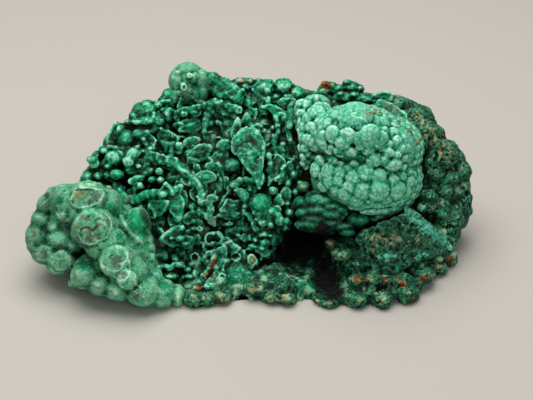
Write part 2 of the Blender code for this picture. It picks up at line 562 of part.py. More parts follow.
def apply_modifiers(subject):
    """Turn what the object's modifiers make into its own mesh."""
    bpy.context.view_layer.update()
    made = bpy.data.meshes.new_from_object(subject.evaluated_get(bpy.context.evaluated_depsgraph_get()))
    subject.modifiers.clear()
    subject.data = made


def fuse(subject, step):
    """Fuse overlapping bodies into one skin."""
    remesh = subject.modifiers.new("fuse", "REMESH")
    remesh.mode = "VOXEL"
    remesh.voxel_size = step * MM
    remesh.adaptivity = 0.0
    apply_modifiers(subject)


def hollow_out(subject, hollows):
    """Cut rounded hollows out of the specimen."""
    cutter_mesh = bpy.data.meshes.new("hollows")
    cutter_clay = bmesh.new()
    for middle, half_sizes in hollows:
        matrix = Matrix.Translation(Vector(middle) * MM) @ Matrix.Diagonal(Vector(half_sizes) * MM).to_4x4()
        bmesh.ops.create_icosphere(cutter_clay, subdivisions=3, radius=1.0, matrix=matrix)
    cutter_clay.to_mesh(cutter_mesh)
    cutter_clay.free()
    cutter = bpy.data.objects.new("hollows", cutter_mesh)
    bpy.context.collection.objects.link(cutter)
    cutter.hide_render = True
    cutter.display_type = "WIRE"
    cut = subject.modifiers.new("hollows", "BOOLEAN")
    cut.operation = "DIFFERENCE"
    cut.object = cutter
    cut.use_self = True
    apply_modifiers(subject)
    bpy.data.objects.remove(cutter)


def keep_largest_body(clay):
    """Drop crumbs that no longer hang on the specimen."""
    left = set(clay.verts)
    bodies = []
    while left:
        body = set()
        front = [left.pop()]
        while front:
            vert = front.pop()
            body.add(vert)
            for edge in vert.link_edges:
                other = edge.other_vert(vert)
                if other in left:
                    left.discard(other)
                    front.append(other)
        bodies.append(body)
    bodies.sort(key=len)
    crumbs = [vert for body in bodies[:-1] for vert in body]
    bmesh.ops.delete(clay, geom=crumbs, context="VERTS")


def smooth(clay, rounds):
    """Take the voxel steps off the skin."""
    for _ in range(rounds):
        bmesh.ops.smooth_vert(clay, verts=clay.verts, factor=0.5, use_axis_x=True, use_axis_y=True,
                              use_axis_z=True)


def finish_mesh(subject, work):
    """Run one editing function on the object's mesh."""
    clay = bmesh.new()
    clay.from_mesh(subject.data)
    work(clay)
    clay.to_mesh(subject.data)
    clay.free()


def cut_base(clay):
    """Cut the specimen flat where it rests, and close the cut."""
    everything = clay.verts[:] + clay.edges[:] + clay.faces[:]
    plane_point = Vector((0.0, 0.0, BASE_LEVEL * MM))
    bmesh.ops.bisect_plane(clay, geom=everything, plane_co=plane_point, plane_no=(0.0, 0.0, 1.0),
                           clear_inner=True)
    rim = [edge for edge in clay.edges if edge.is_boundary]
    bmesh.ops.holes_fill(clay, edges=rim, sides=0)
    bmesh.ops.triangulate(clay, faces=clay.faces)


def thin_out(subject, budget):
    """Bring the triangles down to the budget, keeping the shape."""
    finish_mesh(subject, lambda clay: bmesh.ops.triangulate(clay, faces=clay.faces))
    thin = subject.modifiers.new("thin", "DECIMATE")
    thin.ratio = budget / len(subject.data.polygons)
    apply_modifiers(subject)


def centre_over_origin(clay):
    """Put the middle of the bounding box over the origin."""
    for axis in (0, 1):
        reach = [vert.co[axis] for vert in clay.verts]
        middle = (min(reach) + max(reach)) / 2
        for vert in clay.verts:
            vert.co[axis] -= middle
        print("moved along", "xy"[axis], "by mm", round(-middle / MM, 3))


def malachite():
    """Return the specimen's material."""
    material = bpy.data.materials.new("malachite")
    material.use_nodes = True
    shader = material.node_tree.nodes["Principled BSDF"]
    shader.inputs["Base Color"].default_value = MALACHITE_COLOUR
    shader.inputs["Roughness"].default_value = MALACHITE_ROUGHNESS
    shader.inputs["Metallic"].default_value = 0.0
    return material


def main():
    for item in list(bpy.data.objects):
        bpy.data.objects.remove(item)
    specimen = clay_object()
    fuse(specimen, FUSE_STEP)
    hollow_out(specimen, CAVES + NOTCHES)
    fuse(specimen, FUSE_STEP)
    finish_mesh(specimen, keep_largest_body)
    finish_mesh(specimen, lambda clay: smooth(clay, SMOOTH_ROUNDS))
    thin_out(specimen, TRIANGLE_BUDGET)
    finish_mesh(specimen, cut_base)
    finish_mesh(specimen, keep_largest_body)
    finish_mesh(specimen, centre_over_origin)
    specimen.data.materials.clear()
    specimen.data.materials.append(malachite())
    print("triangles", len(specimen.data.polygons))


main()
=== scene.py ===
# %% [markdown]
# # A malachite specimen
# This lesson makes one rough malachite specimen: a bunch of broken stalactites at the left, a
# hollow full of leaves and fingers, a dome of round botryoids, and a crust of broken rock around
# two caves. Everything grew as one mass, so the lesson lays out simple forms, melts them
# into a few overlapping bodies, and lets Geometry Nodes grow the small relief on them.

# %% Load the frame
import math

import bmesh
import bpy
import numpy as np
from mathutils import Matrix, Vector


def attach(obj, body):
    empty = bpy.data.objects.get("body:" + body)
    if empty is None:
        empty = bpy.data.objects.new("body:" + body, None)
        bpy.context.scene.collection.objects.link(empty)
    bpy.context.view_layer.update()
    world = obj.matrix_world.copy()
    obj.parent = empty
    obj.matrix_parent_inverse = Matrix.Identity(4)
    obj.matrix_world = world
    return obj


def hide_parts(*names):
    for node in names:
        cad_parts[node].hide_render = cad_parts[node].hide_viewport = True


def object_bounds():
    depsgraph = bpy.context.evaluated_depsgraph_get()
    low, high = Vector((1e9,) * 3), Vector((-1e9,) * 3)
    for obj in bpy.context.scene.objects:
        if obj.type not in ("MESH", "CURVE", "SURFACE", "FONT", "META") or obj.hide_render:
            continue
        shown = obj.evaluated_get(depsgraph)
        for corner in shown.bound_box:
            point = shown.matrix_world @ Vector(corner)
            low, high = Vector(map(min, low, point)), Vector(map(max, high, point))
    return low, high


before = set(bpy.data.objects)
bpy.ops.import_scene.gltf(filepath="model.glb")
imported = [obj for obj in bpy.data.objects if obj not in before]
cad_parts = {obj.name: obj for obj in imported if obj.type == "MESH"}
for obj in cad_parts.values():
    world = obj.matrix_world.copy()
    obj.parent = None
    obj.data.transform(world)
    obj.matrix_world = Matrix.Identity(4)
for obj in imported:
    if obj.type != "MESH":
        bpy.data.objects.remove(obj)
cad_low, cad_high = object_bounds()
print("solid's box, mm", [round(1000 * x, 1) for x in (*cad_low, *cad_high)])

# %% [markdown]
# ## The display face
# A specimen is read from its display side, so its forms are measured across that face: u runs to
# the right from the left tip, v runs up the face and w stands out of it, all in millimetres. The
# face leans back from the table. The face is measured from a set distance away, so a form
# that stands further out counts as a little smaller than it looks. Plain scene axes would work
# too, but then every ledge would need its place worked out by hand.

# %% Turn face measures into scene places
MM = 0.001
FACE_MIDDLE = (120.25, 56.0)
FACE_LEAN = math.radians(30.0)
FACE_RISE = 35.0
SIGHT_DISTANCE = 800.0
CENTRE_SHIFT = Vector((6.761, -5.676, 0.0))
FACE_AXES = Matrix((
    (1.0, 0.0, 0.0),
    (0.0, math.sin(FACE_LEAN), -math.cos(FACE_LEAN)),
    (0.0, math.cos(FACE_LEAN), math.sin(FACE_LEAN)),
))
FACE_ORIGIN = Vector((0.0, 0.0, FACE_RISE)) + CENTRE_SHIFT


def place(u, v, w):
    """Return the point, in metres, at (u, v) across the face that stands out by w."""
    nearness = (SIGHT_DISTANCE - w) / SIGHT_DISTANCE
    across = (u - FACE_MIDDLE[0]) * nearness
    up = (v - FACE_MIDDLE[1]) * nearness
    return (FACE_AXES @ Vector((across, up, w)) + FACE_ORIGIN) * MM


def seen_size(size, w):
    """Return a size in metres, shrunk by how far its form stands out towards the eye."""
    return size * MM * (SIGHT_DISTANCE - w) / SIGHT_DISTANCE


def face_places(points):
    """Return u, v and w for an array of points in metres."""
    local = (points / MM - np.array(FACE_ORIGIN)) @ np.array(FACE_AXES)
    nearness = (SIGHT_DISTANCE - local[:, 2]) / SIGHT_DISTANCE
    u = local[:, 0] / nearness + FACE_MIDDLE[0]
    v = local[:, 1] / nearness + FACE_MIDDLE[1]
    return u, v, local[:, 2]


print("left tip lies at", [round(1000 * x, 1) for x in place(0, 38, 8)], "mm")

# %% [markdown]
# ## The kinds of form
# Malachite grows as round lumps, as fingers that follow a path, and as thin scaly leaves. A lump
# is a stretched ball. A finger is a tube whose ends are closed by small domes; a broken
# stalactite gets nearly flat ends instead. A leaf is traced by its outline: the front swells or
# dips towards the middle, the edge is thin, and the back tapers to a stalk, so that black gaps
# stay open between neighbours. A ring is the open end of a tube. Forms may overlap freely,
# because they are melted together later.

# %% Lumps and smooth curves
LUMP_DEPTH = 8
BIG_LUMP = 6


def add_ball(clay, axes, middle, half_sizes, detail):
    """Add a stretched ball, given its middle and half sizes in metres."""
    matrix = Matrix.Translation(middle) @ axes.to_4x4() @ Matrix.Diagonal(half_sizes).to_4x4()
    bmesh.ops.create_icosphere(clay, subdivisions=detail, radius=1.0, matrix=matrix)


def add_lump(clay, u, v, w, half_width, half_height, half_depth=LUMP_DEPTH):
    """Add one rounded lump."""
    half_sizes = (seen_size(half_width, w), seen_size(half_height, w), half_depth * MM)
    detail = 4 if max(half_width, half_height) > BIG_LUMP else 3
    add_ball(clay, FACE_AXES, place(u, v, w), half_sizes, detail)


def curve_through(points, steps, closed=False):
    """Return points on a smooth curve that passes through the given ones."""
    path = [Vector(point) for point in points]
    if closed:
        path = [path[-1]] + path + path[:2]
    else:
        path = [path[0] * 2 - path[1]] + path + [path[-1] * 2 - path[-2]]
    curve = []
    for before, start, end, after in zip(path, path[1:], path[2:], path[3:]):
        for step in range(steps):
            t = step / steps
            curve.append(0.5 * (2 * start + (end - before) * t
                                + (2 * before - 5 * start + 4 * end - after) * t ** 2
                                + (3 * start - before - 3 * end + after) * t ** 3))
    return curve if closed else curve + [path[-2]]

# %% Leaves
STALK_DEPTH = 13
EDGE_THICKNESS = 2.4
LEAF_SPREAD = 0.8
LEAF_STEPS = 3
LEAF_SHOULDER, SHOULDER_LIFT = 0.8, 0.6
LEAF_TOP = 0.45
LEAF_BACK = 0.85


def add_leaf(clay, w, lean, crown, outline):
    """Add one leaf; its first outline point is the tip, which stands out by lean."""
    tip = Vector(outline[0])
    middle = sum((Vector(point) for point in outline), Vector((0.0, 0.0))) / len(outline)
    along = (tip - middle).normalized()
    reach = (tip - middle).length
    spread = [p + (p - middle).normalized() * LEAF_SPREAD for p in curve_through(outline, LEAF_STEPS, True)]
    rim = [(p.x, p.y, w + lean * (p - middle).dot(along) / reach) for p in spread]

    def ring(share, lift):
        """Return a ring of vertices drawn in towards the middle and lifted."""
        made = []
        for u, v, height in rim:
            inner_u, inner_v = middle.x + (u - middle.x) * share, middle.y + (v - middle.y) * share
            made.append(clay.verts.new(place(inner_u, inner_v, w + (height + lift - w) * share)))
        return made

    rings = [ring(1.0, 0.0), ring(LEAF_SHOULDER, crown * SHOULDER_LIFT), ring(LEAF_TOP, crown)]
    faces = []

    def bridge(outer, inner):
        """Join two rings of vertices with quads."""
        for here, after, next_in, in_here in zip(outer, outer[1:] + outer[:1], inner[1:] + inner[:1], inner):
            faces.append(clay.faces.new((here, after, next_in, in_here)))

    bridge(rings[0], rings[1])
    bridge(rings[1], rings[2])
    back = ring(LEAF_BACK, -EDGE_THICKNESS)
    bridge(back, rings[0])
    front_middle = clay.verts.new(place(middle.x, middle.y, w + crown))
    root = clay.verts.new(place(middle.x, middle.y, w - STALK_DEPTH))
    for here, after in zip(rings[2], rings[2][1:] + rings[2][:1]):
        faces.append(clay.faces.new((here, after, front_middle)))
    for here, after in zip(back, back[1:] + back[:1]):
        faces.append(clay.faces.new((after, here, root)))
    bmesh.ops.recalc_face_normals(clay, faces=faces)

# %% Rings
RING_STAND = 1.4
RING_FLOOR = (8.5, 1.1, 6.5)


def add_ring(clay, u, v, w, half_width, half_height, thickness):
    """Add the open end of a tube: a ring, and the sunken floor inside it."""
    turns, sides = 20, 6
    loops = []
    for turn in range(turns):
        angle = math.tau * turn / turns
        loop = []
        for side in range(sides):
            swing = math.tau * side / sides
            away = 1 + math.cos(swing) * thickness / half_width
            loop.append(clay.verts.new(place(
                u + math.cos(angle) * half_width * away, v + math.sin(angle) * half_height * away,
                w + math.sin(swing) * thickness * RING_STAND)))
        loops.append(loop)
    faces = []
    for loop, after in zip(loops, loops[1:] + loops[:1]):
        for a, b, c, d in zip(loop, loop[1:] + loop[:1], after[1:] + after[:1], after):
            faces.append(clay.faces.new((a, b, c, d)))
    bmesh.ops.recalc_face_normals(clay, faces=faces)
    sunk, wider, depth = RING_FLOOR
    add_lump(clay, u, v, w - sunk, half_width * wider, half_height * wider, depth)

# %% Fingers
FINGER_FATNESS = 1.28
FINGER_STEPS = 5
FINGER_WOBBLE = 0.17
WOBBLE_PITCH = 1.9
STOUT_FINGER = 4
THINNEST_FINGER = 0.3
END_SHARES = (0.97, 0.87, 0.7, 0.4)


def strands(rows):
    """Return finger paths from rows of (first w, last w, first radius, last radius, path)."""
    fingers = []
    for first_w, last_w, first_r, last_r, path in rows:
        finger = []
        for step, (u, v) in enumerate(path):
            t = step / (len(path) - 1)
            radius = (first_r + (last_r - first_r) * t) * FINGER_FATNESS
            finger.append((u, v, first_w + (last_w - first_w) * t, radius))
        fingers.append(finger)
    return fingers


def finger_rings(points, end_shape):
    """Return (place, radius) along a finger, with both ends closed by a dome."""
    rings = []
    for u, v, w, r in curve_through(points, FINGER_STEPS):
        wobble = FINGER_WOBBLE if r < STOUT_FINGER else 0
        knobbly = r * (1 + wobble * math.sin(WOBBLE_PITCH * (u + v)))
        rings.append((place(u, v, w), seen_size(max(knobbly, THINNEST_FINGER), w)))
    capped = []
    for at_end, inner in ((rings[0], rings[1]), (rings[-1], rings[-2])):
        outward = (at_end[0] - inner[0]).normalized()
        cap = []
        for share in END_SHARES:
            tip = at_end[0] + outward * at_end[1] * share * end_shape
            cap.append((tip, at_end[1] * math.sqrt(1 - share ** 2)))
        capped.append(cap)
    return capped[0] + rings + capped[1][::-1]


def finger_mesh(fingers, end_shape):
    """Return a mesh of fingers, as round tubes along their paths."""
    curve = bpy.data.curves.new("fingers", "CURVE")
    curve.dimensions = "3D"
    curve.bevel_depth = MM
    curve.bevel_resolution = 4
    curve.use_fill_caps = True
    for points in fingers:
        rings = finger_rings(points, end_shape)
        spline = curve.splines.new("POLY")
        spline.points.add(len(rings) - 1)
        for point, (centre, radius) in zip(spline.points, rings):
            point.co = (*centre, 1.0)
            point.radius = radius / MM
    tubes = bpy.data.objects.new("fingers", curve)
    bpy.context.collection.objects.link(tubes)
    bpy.context.view_layer.update()
    mesh = bpy.data.meshes.new_from_object(tubes.evaluated_get(bpy.context.evaluated_depsgraph_get()))
    bpy.data.objects.remove(tubes)
    bpy.data.curves.remove(curve)
    return mesh

# %% Gather a group's forms
BROKEN_END = 0.25


def clay_object(name, lumps=(), fingers=(), leaves=(), broken=(), scales=(), rings=(), grown=()):
    """Return one object that holds a group's forms as separate closed bodies."""
    clay = bmesh.new()
    for add_form, forms in ((add_lump, lumps), (add_leaf, leaves), (add_ball, scales), (add_ring, rings)):
        for form in forms:
            add_form(clay, *form)
    for mesh in grown:
        clay.from_mesh(mesh)
    if fingers:
        clay.from_mesh(finger_mesh(fingers, 1.0))
    if broken:
        clay.from_mesh(finger_mesh(broken, BROKEN_END))
    mesh = bpy.data.meshes.new(name)
    clay.to_mesh(mesh)
    clay.free()
    made = bpy.data.objects.new(name, mesh)
    bpy.context.collection.objects.link(made)
    return made

# %% [markdown]
# ## Growing small scales with Geometry Nodes
# Hundreds of small scales and beads of malachite cover the rough parts. Placing them by hand would
# take days, so a Geometry Nodes tree spreads points over the skin, keeps them a set spacing apart,
# and sets a small ball on each, stretched and flattened into a scale and turned at random. The
# scales are melted into the form afterwards.

# %% Tree that scatters scales
MOST_PER_SQUARE_METRE = 900000.0


def add_node(tree, kind, inputs=None, **settings):
    """Add a node, set its properties, and give each input a value or another node's output."""
    node = tree.nodes.new(kind)
    for name, value in settings.items():
        setattr(node, name, value)
    for key, value in (inputs or {}).items():
        if isinstance(value, bpy.types.NodeSocket):
            tree.links.new(value, node.inputs[key])
        else:
            node.inputs[key].default_value = value
    return node


def maths(tree, operation, *values):
    """Add a maths node for the given values or outputs, and return its result."""
    return add_node(tree, "ShaderNodeMath", dict(enumerate(values)), operation=operation).outputs[0]


def start_tree(name, sizes):
    """Start a tree with a geometry socket on both sides, named number inputs and a material."""
    tree = bpy.data.node_groups.new(name, "GeometryNodeTree")
    sockets = tree.interface
    sockets.new_socket("Geometry", in_out="INPUT", socket_type="NodeSocketGeometry")
    for label, value in sizes.items():
        kind = {bool: "NodeSocketBool", int: "NodeSocketInt", float: "NodeSocketFloat"}[type(value)]
        sockets.new_socket(label, in_out="INPUT", socket_type=kind).default_value = value
    sockets.new_socket("Material", in_out="INPUT", socket_type="NodeSocketMaterial")
    sockets.new_socket("Geometry", in_out="OUTPUT", socket_type="NodeSocketGeometry")
    return tree, add_node(tree, "NodeGroupInput").outputs


def end_tree(tree, geometry, material):
    """Close a tree with real geometry and its material."""
    real = add_node(tree, "GeometryNodeRealizeInstances", {0: geometry})
    shaded = add_node(tree, "GeometryNodeSetShadeSmooth", {0: real.outputs[0]})
    dressed = add_node(tree, "GeometryNodeSetMaterial", {0: shaded.outputs[0], "Material": material})
    add_node(tree, "NodeGroupOutput", {0: dressed.outputs[0]})


def scatter_tree():
    """Return the tree that grows small scales on a form."""
    tree, given = start_tree("scale_scatter", {
        "Spacing mm": 2.4, "Smallest mm": 0.7, "Largest mm": 1.4, "Stand": -0.1, "Long": 1.0, "Thin": 1.0,
        "Least facing": -1.0, "Keep form": True, "Seed": 1,
    })
    spacing = maths(tree, "MULTIPLY", given["Spacing mm"], MM)
    normal = add_node(tree, "GeometryNodeInputNormal").outputs[0]
    facing = add_node(tree, "ShaderNodeVectorMath", {0: normal, 1: FACE_AXES.col[2]},
                      operation="DOT_PRODUCT").outputs["Value"]
    spots = add_node(tree, "GeometryNodeDistributePointsOnFaces", {
        "Mesh": given["Geometry"], "Distance Min": spacing, "Density Max": MOST_PER_SQUARE_METRE,
        "Density Factor": maths(tree, "GREATER_THAN", facing, given["Least facing"]), "Seed": given["Seed"],
    }, distribute_method="POISSON")
    radius = add_node(tree, "FunctionNodeRandomValue", {
        2: given["Smallest mm"], 3: given["Largest mm"], "Seed": given["Seed"],
    }, data_type="FLOAT")
    radius_m = maths(tree, "MULTIPLY", radius.outputs[1], MM)
    lift = add_node(tree, "ShaderNodeVectorMath", {
        0: spots.outputs["Normal"], "Scale": maths(tree, "MULTIPLY", radius_m, given["Stand"]),
    }, operation="SCALE")
    seats = add_node(tree, "GeometryNodeSetPosition", {
        "Geometry": spots.outputs["Points"], "Offset": lift.outputs[0],
    })
    sizes = add_node(tree, "ShaderNodeCombineXYZ", {
        0: maths(tree, "MULTIPLY", radius_m, given["Long"]), 1: radius_m,
        2: maths(tree, "MULTIPLY", radius_m, given["Thin"]),
    })
    turned = add_node(tree, "FunctionNodeRandomValue", {
        0: (0.0, 0.0, 0.0), 1: (math.tau, math.tau, math.tau), "Seed": given["Seed"],
    }, data_type="FLOAT_VECTOR")
    ball = add_node(tree, "GeometryNodeMeshIcoSphere", {"Radius": 1.0, "Subdivisions": 2})
    scales = add_node(tree, "GeometryNodeInstanceOnPoints", {
        "Points": seats.outputs[0], "Instance": ball.outputs["Mesh"], "Scale": sizes.outputs[0],
        "Rotation": turned.outputs[0],
    })
    joined = add_node(tree, "GeometryNodeJoinGeometry", {0: scales.outputs[0]})
    tree.links.new(given["Geometry"], joined.inputs[0])
    kept = add_node(tree, "GeometryNodeSwitch", {
        "Switch": given["Keep form"], "False": scales.outputs[0], "True": joined.outputs[0],
    }, input_type="GEOMETRY")
    end_tree(tree, kept.outputs[0], given["Material"])
    return tree


SCATTER = scatter_tree()
print("scatter tree nodes", len(SCATTER.nodes))

# %% [markdown]
# ## Relief and its record
# The skin of malachite is never smooth: it swells into low cells, has a fine grain, and is pitted
# where it was broken. A second tree pushes each point along its normal by a cell pattern, a noise
# and pits. It then blurs the positions and compares them with the real ones. Where the skin
# stands proud of its blurred self it is a crest, and where it lies below it is a crevice. Both
# are stored as attributes: the materials paint crests pale, partly as wear and partly as painted
# highlight, and crevices nearly black as painted shade.

# %% Tree that adds relief and measures it
CELL_LEVEL = 0.45
NOISE_LEVEL = 0.5
PIT_START, PIT_END = 0.56, 0.68
EDGE_ROUNDS = 3
SWELL_ROUNDS = 24


def scaled_noise(tree, texture, place_mm, size):
    """Add a texture whose cells are the given size in millimetres."""
    return add_node(tree, texture, {"Vector": place_mm, "Scale": maths(tree, "DIVIDE", 1.0, size)})


def spare(tree, value, zero, height):
    """Return (value - zero) x height as a socket."""
    return maths(tree, "MULTIPLY", maths(tree, "SUBTRACT", value, zero), height)


def stored_swell(tree, geometry, name, rounds):
    """Store how far each point stands proud of the blurred skin, in millimetres."""
    here = add_node(tree, "GeometryNodeInputPosition").outputs[0]
    blurred = add_node(tree, "GeometryNodeBlurAttribute", {"Iterations": rounds}, data_type="FLOAT_VECTOR")
    tree.links.new(here, [s for s in blurred.inputs if s.type == "VECTOR"][0])
    soft = [s for s in blurred.outputs if s.type == "VECTOR"][0]
    away = add_node(tree, "ShaderNodeVectorMath", {0: here, 1: soft}, operation="SUBTRACT")
    normal = add_node(tree, "GeometryNodeInputNormal").outputs[0]
    along = add_node(tree, "ShaderNodeVectorMath", {0: away.outputs[0], 1: normal}, operation="DOT_PRODUCT")
    stored = add_node(tree, "GeometryNodeStoreNamedAttribute", {
        "Geometry": geometry, "Name": name, "Value": maths(tree, "MULTIPLY", along.outputs["Value"], 1 / MM),
    }, data_type="FLOAT", domain="POINT")
    return stored.outputs[0]


def relief_tree():
    """Return the tree that adds relief and stores crests and crevices."""
    tree, given = start_tree("stone_relief", {
        "Cell mm": 2.5, "Cell height mm": 0.5, "Grain mm": 1.2, "Grain height mm": 0.3,
        "Pit mm": 3.0, "Pit depth mm": 0.0, "Warp mm": 5.0, "Warp height mm": 0.0, "Seed": 1,
    })
    here = add_node(tree, "GeometryNodeInputPosition").outputs[0]
    seeded = add_node(tree, "ShaderNodeVectorMath", {0: here, "Scale": 1 / MM}, operation="SCALE")
    moved = add_node(tree, "ShaderNodeVectorMath", {0: seeded.outputs[0], 1: given["Seed"]}, operation="ADD")
    place_mm = moved.outputs[0]
    cells = scaled_noise(tree, "ShaderNodeTexVoronoi", place_mm, given["Cell mm"])
    cell = spare(tree, cells.outputs["Distance"], CELL_LEVEL, given["Cell height mm"])
    grain = scaled_noise(tree, "ShaderNodeTexNoise", place_mm, given["Grain mm"])
    grain.inputs["Detail"].default_value = 3.0
    bump = spare(tree, grain.outputs[0], NOISE_LEVEL, given["Grain height mm"])
    pits = scaled_noise(tree, "ShaderNodeTexNoise", place_mm, given["Pit mm"])
    low = add_node(tree, "ShaderNodeMapRange", {
        "Value": pits.outputs[0], "From Min": PIT_START, "From Max": PIT_END,
    })
    pit = spare(tree, low.outputs[0], 0.0, given["Pit depth mm"])
    warps = scaled_noise(tree, "ShaderNodeTexNoise", place_mm, given["Warp mm"])
    warp = spare(tree, warps.outputs[0], NOISE_LEVEL, given["Warp height mm"])
    high = maths(tree, "SUBTRACT", maths(tree, "ADD", bump, warp), cell)
    metres = maths(tree, "MULTIPLY", maths(tree, "SUBTRACT", high, pit), MM)
    normal = add_node(tree, "GeometryNodeInputNormal").outputs[0]
    push = add_node(tree, "ShaderNodeVectorMath", {0: normal, "Scale": metres}, operation="SCALE")
    shaped = add_node(tree, "GeometryNodeSetPosition", {
        "Geometry": given["Geometry"], "Offset": push.outputs[0],
    })
    edged = stored_swell(tree, shaped.outputs[0], "edge", EDGE_ROUNDS)
    end_tree(tree, stored_swell(tree, edged, "swell", SWELL_ROUNDS), given["Material"])
    return tree


RELIEF = relief_tree()
print("relief tree nodes", len(RELIEF.nodes))

# %% [markdown]
# ## Melting forms into one skin
# Union by exact Boolean would keep a hard crease between forms, and needs clean solids. A voxel
# remesh melts all overlapping forms into one closed skin of even small faces, which the relief
# then needs. Smoothing takes the voxel steps off, and more of it joins neighbours softly. The base
# is pressed flat on the table.

# %% Modifiers and plain meshes
def add_tree(subject, tree, values, material=None):
    """Add a Geometry Nodes modifier and set its inputs by their identifiers."""
    modifier = subject.modifiers.new(tree.name, "NODES")
    modifier.node_group = tree
    for item in tree.interface.items_tree:
        if item.in_out == "INPUT" and item.name in values:
            modifier[item.identifier] = values[item.name]
        if item.in_out == "INPUT" and item.name == "Material" and material:
            modifier[item.identifier] = material


def add_remesh(subject, voxel):
    """Melt overlapping bodies into one skin."""
    remesh = subject.modifiers.new("melt", "REMESH")
    remesh.mode = "VOXEL"
    remesh.voxel_size = voxel * MM


def plain_mesh(subject):
    """Return what the object's modifiers make, as a plain mesh."""
    bpy.context.view_layer.update()
    return bpy.data.meshes.new_from_object(subject.evaluated_get(bpy.context.evaluated_depsgraph_get()))


def scales_on(lumps, values):
    """Return a mesh of the scales alone that grow on some lumps, without the lumps."""
    ground = clay_object("ground", lumps)
    add_tree(ground, SCATTER, dict(values, **{"Keep form": False}))
    mesh = plain_mesh(ground)
    bpy.data.objects.remove(ground)
    print("scales grown, triangles", len(mesh.polygons))
    return mesh

# %% Cave cutter
def cave_cutter(hollows):
    """Return a hidden object shaped like the caves and notches."""
    clay = bmesh.new()
    for middle, half_sizes in hollows:
        centre = (Vector(middle) + CENTRE_SHIFT) * MM
        add_ball(clay, Matrix.Identity(3), centre, Vector(half_sizes) * MM, 4)
    mesh = bpy.data.meshes.new("caves")
    clay.to_mesh(mesh)
    clay.free()
    cutter = bpy.data.objects.new("caves", mesh)
    bpy.context.collection.objects.link(cutter)
    cutter.hide_render = True
    cutter.display_type = "WIRE"
    return cutter

# %% Melt a group of forms
MARGIN = 0.8 * MM
INSIDE_LOW = (cad_low.x - MARGIN, cad_low.y - MARGIN, 0.0)
INSIDE_HIGH = (cad_high.x + MARGIN, cad_high.y + MARGIN, cad_high.z + MARGIN)


def melt(clay, material, voxel, relief, scatter=None, cutter=None, smooth=2):
    """Turn a clay object into a finished plain mesh piece with relief."""
    name = clay.name
    if scatter:
        add_tree(clay, SCATTER, scatter)
    add_remesh(clay, voxel)
    if cutter:
        cut = clay.modifiers.new("caves", "BOOLEAN")
        cut.operation = "DIFFERENCE"
        cut.object = cutter
        cut.use_self = True
        add_remesh(clay, voxel)
    soft = clay.modifiers.new("soften", "SMOOTH")
    soft.factor = 0.5
    soft.iterations = smooth
    add_tree(clay, RELIEF, relief, material)
    mesh = plain_mesh(clay)
    bpy.data.objects.remove(clay)
    mesh.name = name
    points = np.empty(len(mesh.vertices) * 3, dtype=np.float32)
    mesh.vertices.foreach_get("co", points)
    points = points.reshape(-1, 3)
    np.clip(points, np.array(INSIDE_LOW), np.array(INSIDE_HIGH), out=points)
    mesh.vertices.foreach_set("co", points.ravel())
    mesh.update()
    piece = bpy.data.objects.new(name, mesh)
    bpy.context.collection.objects.link(piece)
    mesh.calc_loop_triangles()
    print(name, "triangles", len(mesh.loop_triangles))
    return piece


# %% [markdown]
# ## The finishes of malachite
# Malachite is copper carbonate. Where it grew as fine fibres it looks like velvet: pale on the
# crests, deep green in the folds, and hardly glossy. In the hollow it is darker, more like silk.
# The broken matrix is a dark crust with cream carbonate and rust-brown iron oxide. All share one
# build: the stored crests and crevices, shaken by noise, pick a tone from light to dark, so the
# crests get a painted highlight and the crevices painted shade; patches of other minerals are
# laid over it, and fine grain is left to a bump.

# %% Colour and patch helpers
TORN_START, TORN_END = 0.1, 0.42


def linear(hex_code):
    """Turn an sRGB hex colour into the linear RGBA that shaders use."""
    channels = [int(hex_code[i:i + 2], 16) / 255 for i in (1, 3, 5)]
    return tuple(c / 12.92 if c <= 0.04045 else ((c + 0.055) / 1.055) ** 2.4 for c in channels) + (1.0,)


def tone_ramp(tree, value, tones):
    """Spread hex tones over 0 to 1 and return the colour picked by value."""
    ramp = add_node(tree, "ShaderNodeValToRGB", {0: value})
    stops = ramp.color_ramp.elements
    while len(stops) < len(tones):
        stops.new(0.5)
    for stop, (at, hex_code) in zip(stops, tones):
        stop.position = at
        stop.color = linear(hex_code)
    return ramp.outputs["Color"]


def read_attribute(tree, name):
    """Return a stored attribute's number."""
    return add_node(tree, "ShaderNodeAttribute", attribute_name=name).outputs["Fac"]


def mixed(tree, share, under, over):
    """Return the under colour with the over colour laid on it by share."""
    mix = add_node(tree, "ShaderNodeMix", {0: share, 6: under, 7: over}, data_type="RGBA")
    return mix.outputs[2]


def multiply_add(tree, value, factor, plus):
    """Return value x factor + plus."""
    return maths(tree, "MULTIPLY_ADD", value, factor, plus)


def ragged(tree, patch, noise):
    """Return a patch's share, torn by noise more towards its edge."""
    return add_node(tree, "ShaderNodeMapRange", {
        "Value": multiply_add(tree, noise, -1.0, patch), "From Min": TORN_START, "From Max": TORN_END,
    }).outputs[0]


def evenly(*hex_codes):
    """Return tones spread evenly from 0 to 1."""
    return [(step / (len(hex_codes) - 1), hex_code) for step, hex_code in enumerate(hex_codes)]


def noise_in_mm(tree, where, size_mm, detail, roughness):
    """Return a noise whose blotches are the given size in millimetres."""
    return add_node(tree, "ShaderNodeTexNoise", {
        "Vector": where, "Scale": 1 / (size_mm * MM), "Detail": detail, "Roughness": roughness,
    }).outputs[0]


# %% [markdown]
# Grain sizes below are real ones in millimetres: malachite fibres are far too fine to show, so
# the finest grain drawn, 0.7 mm, stands for the nap that bundles of fibres give the skin.

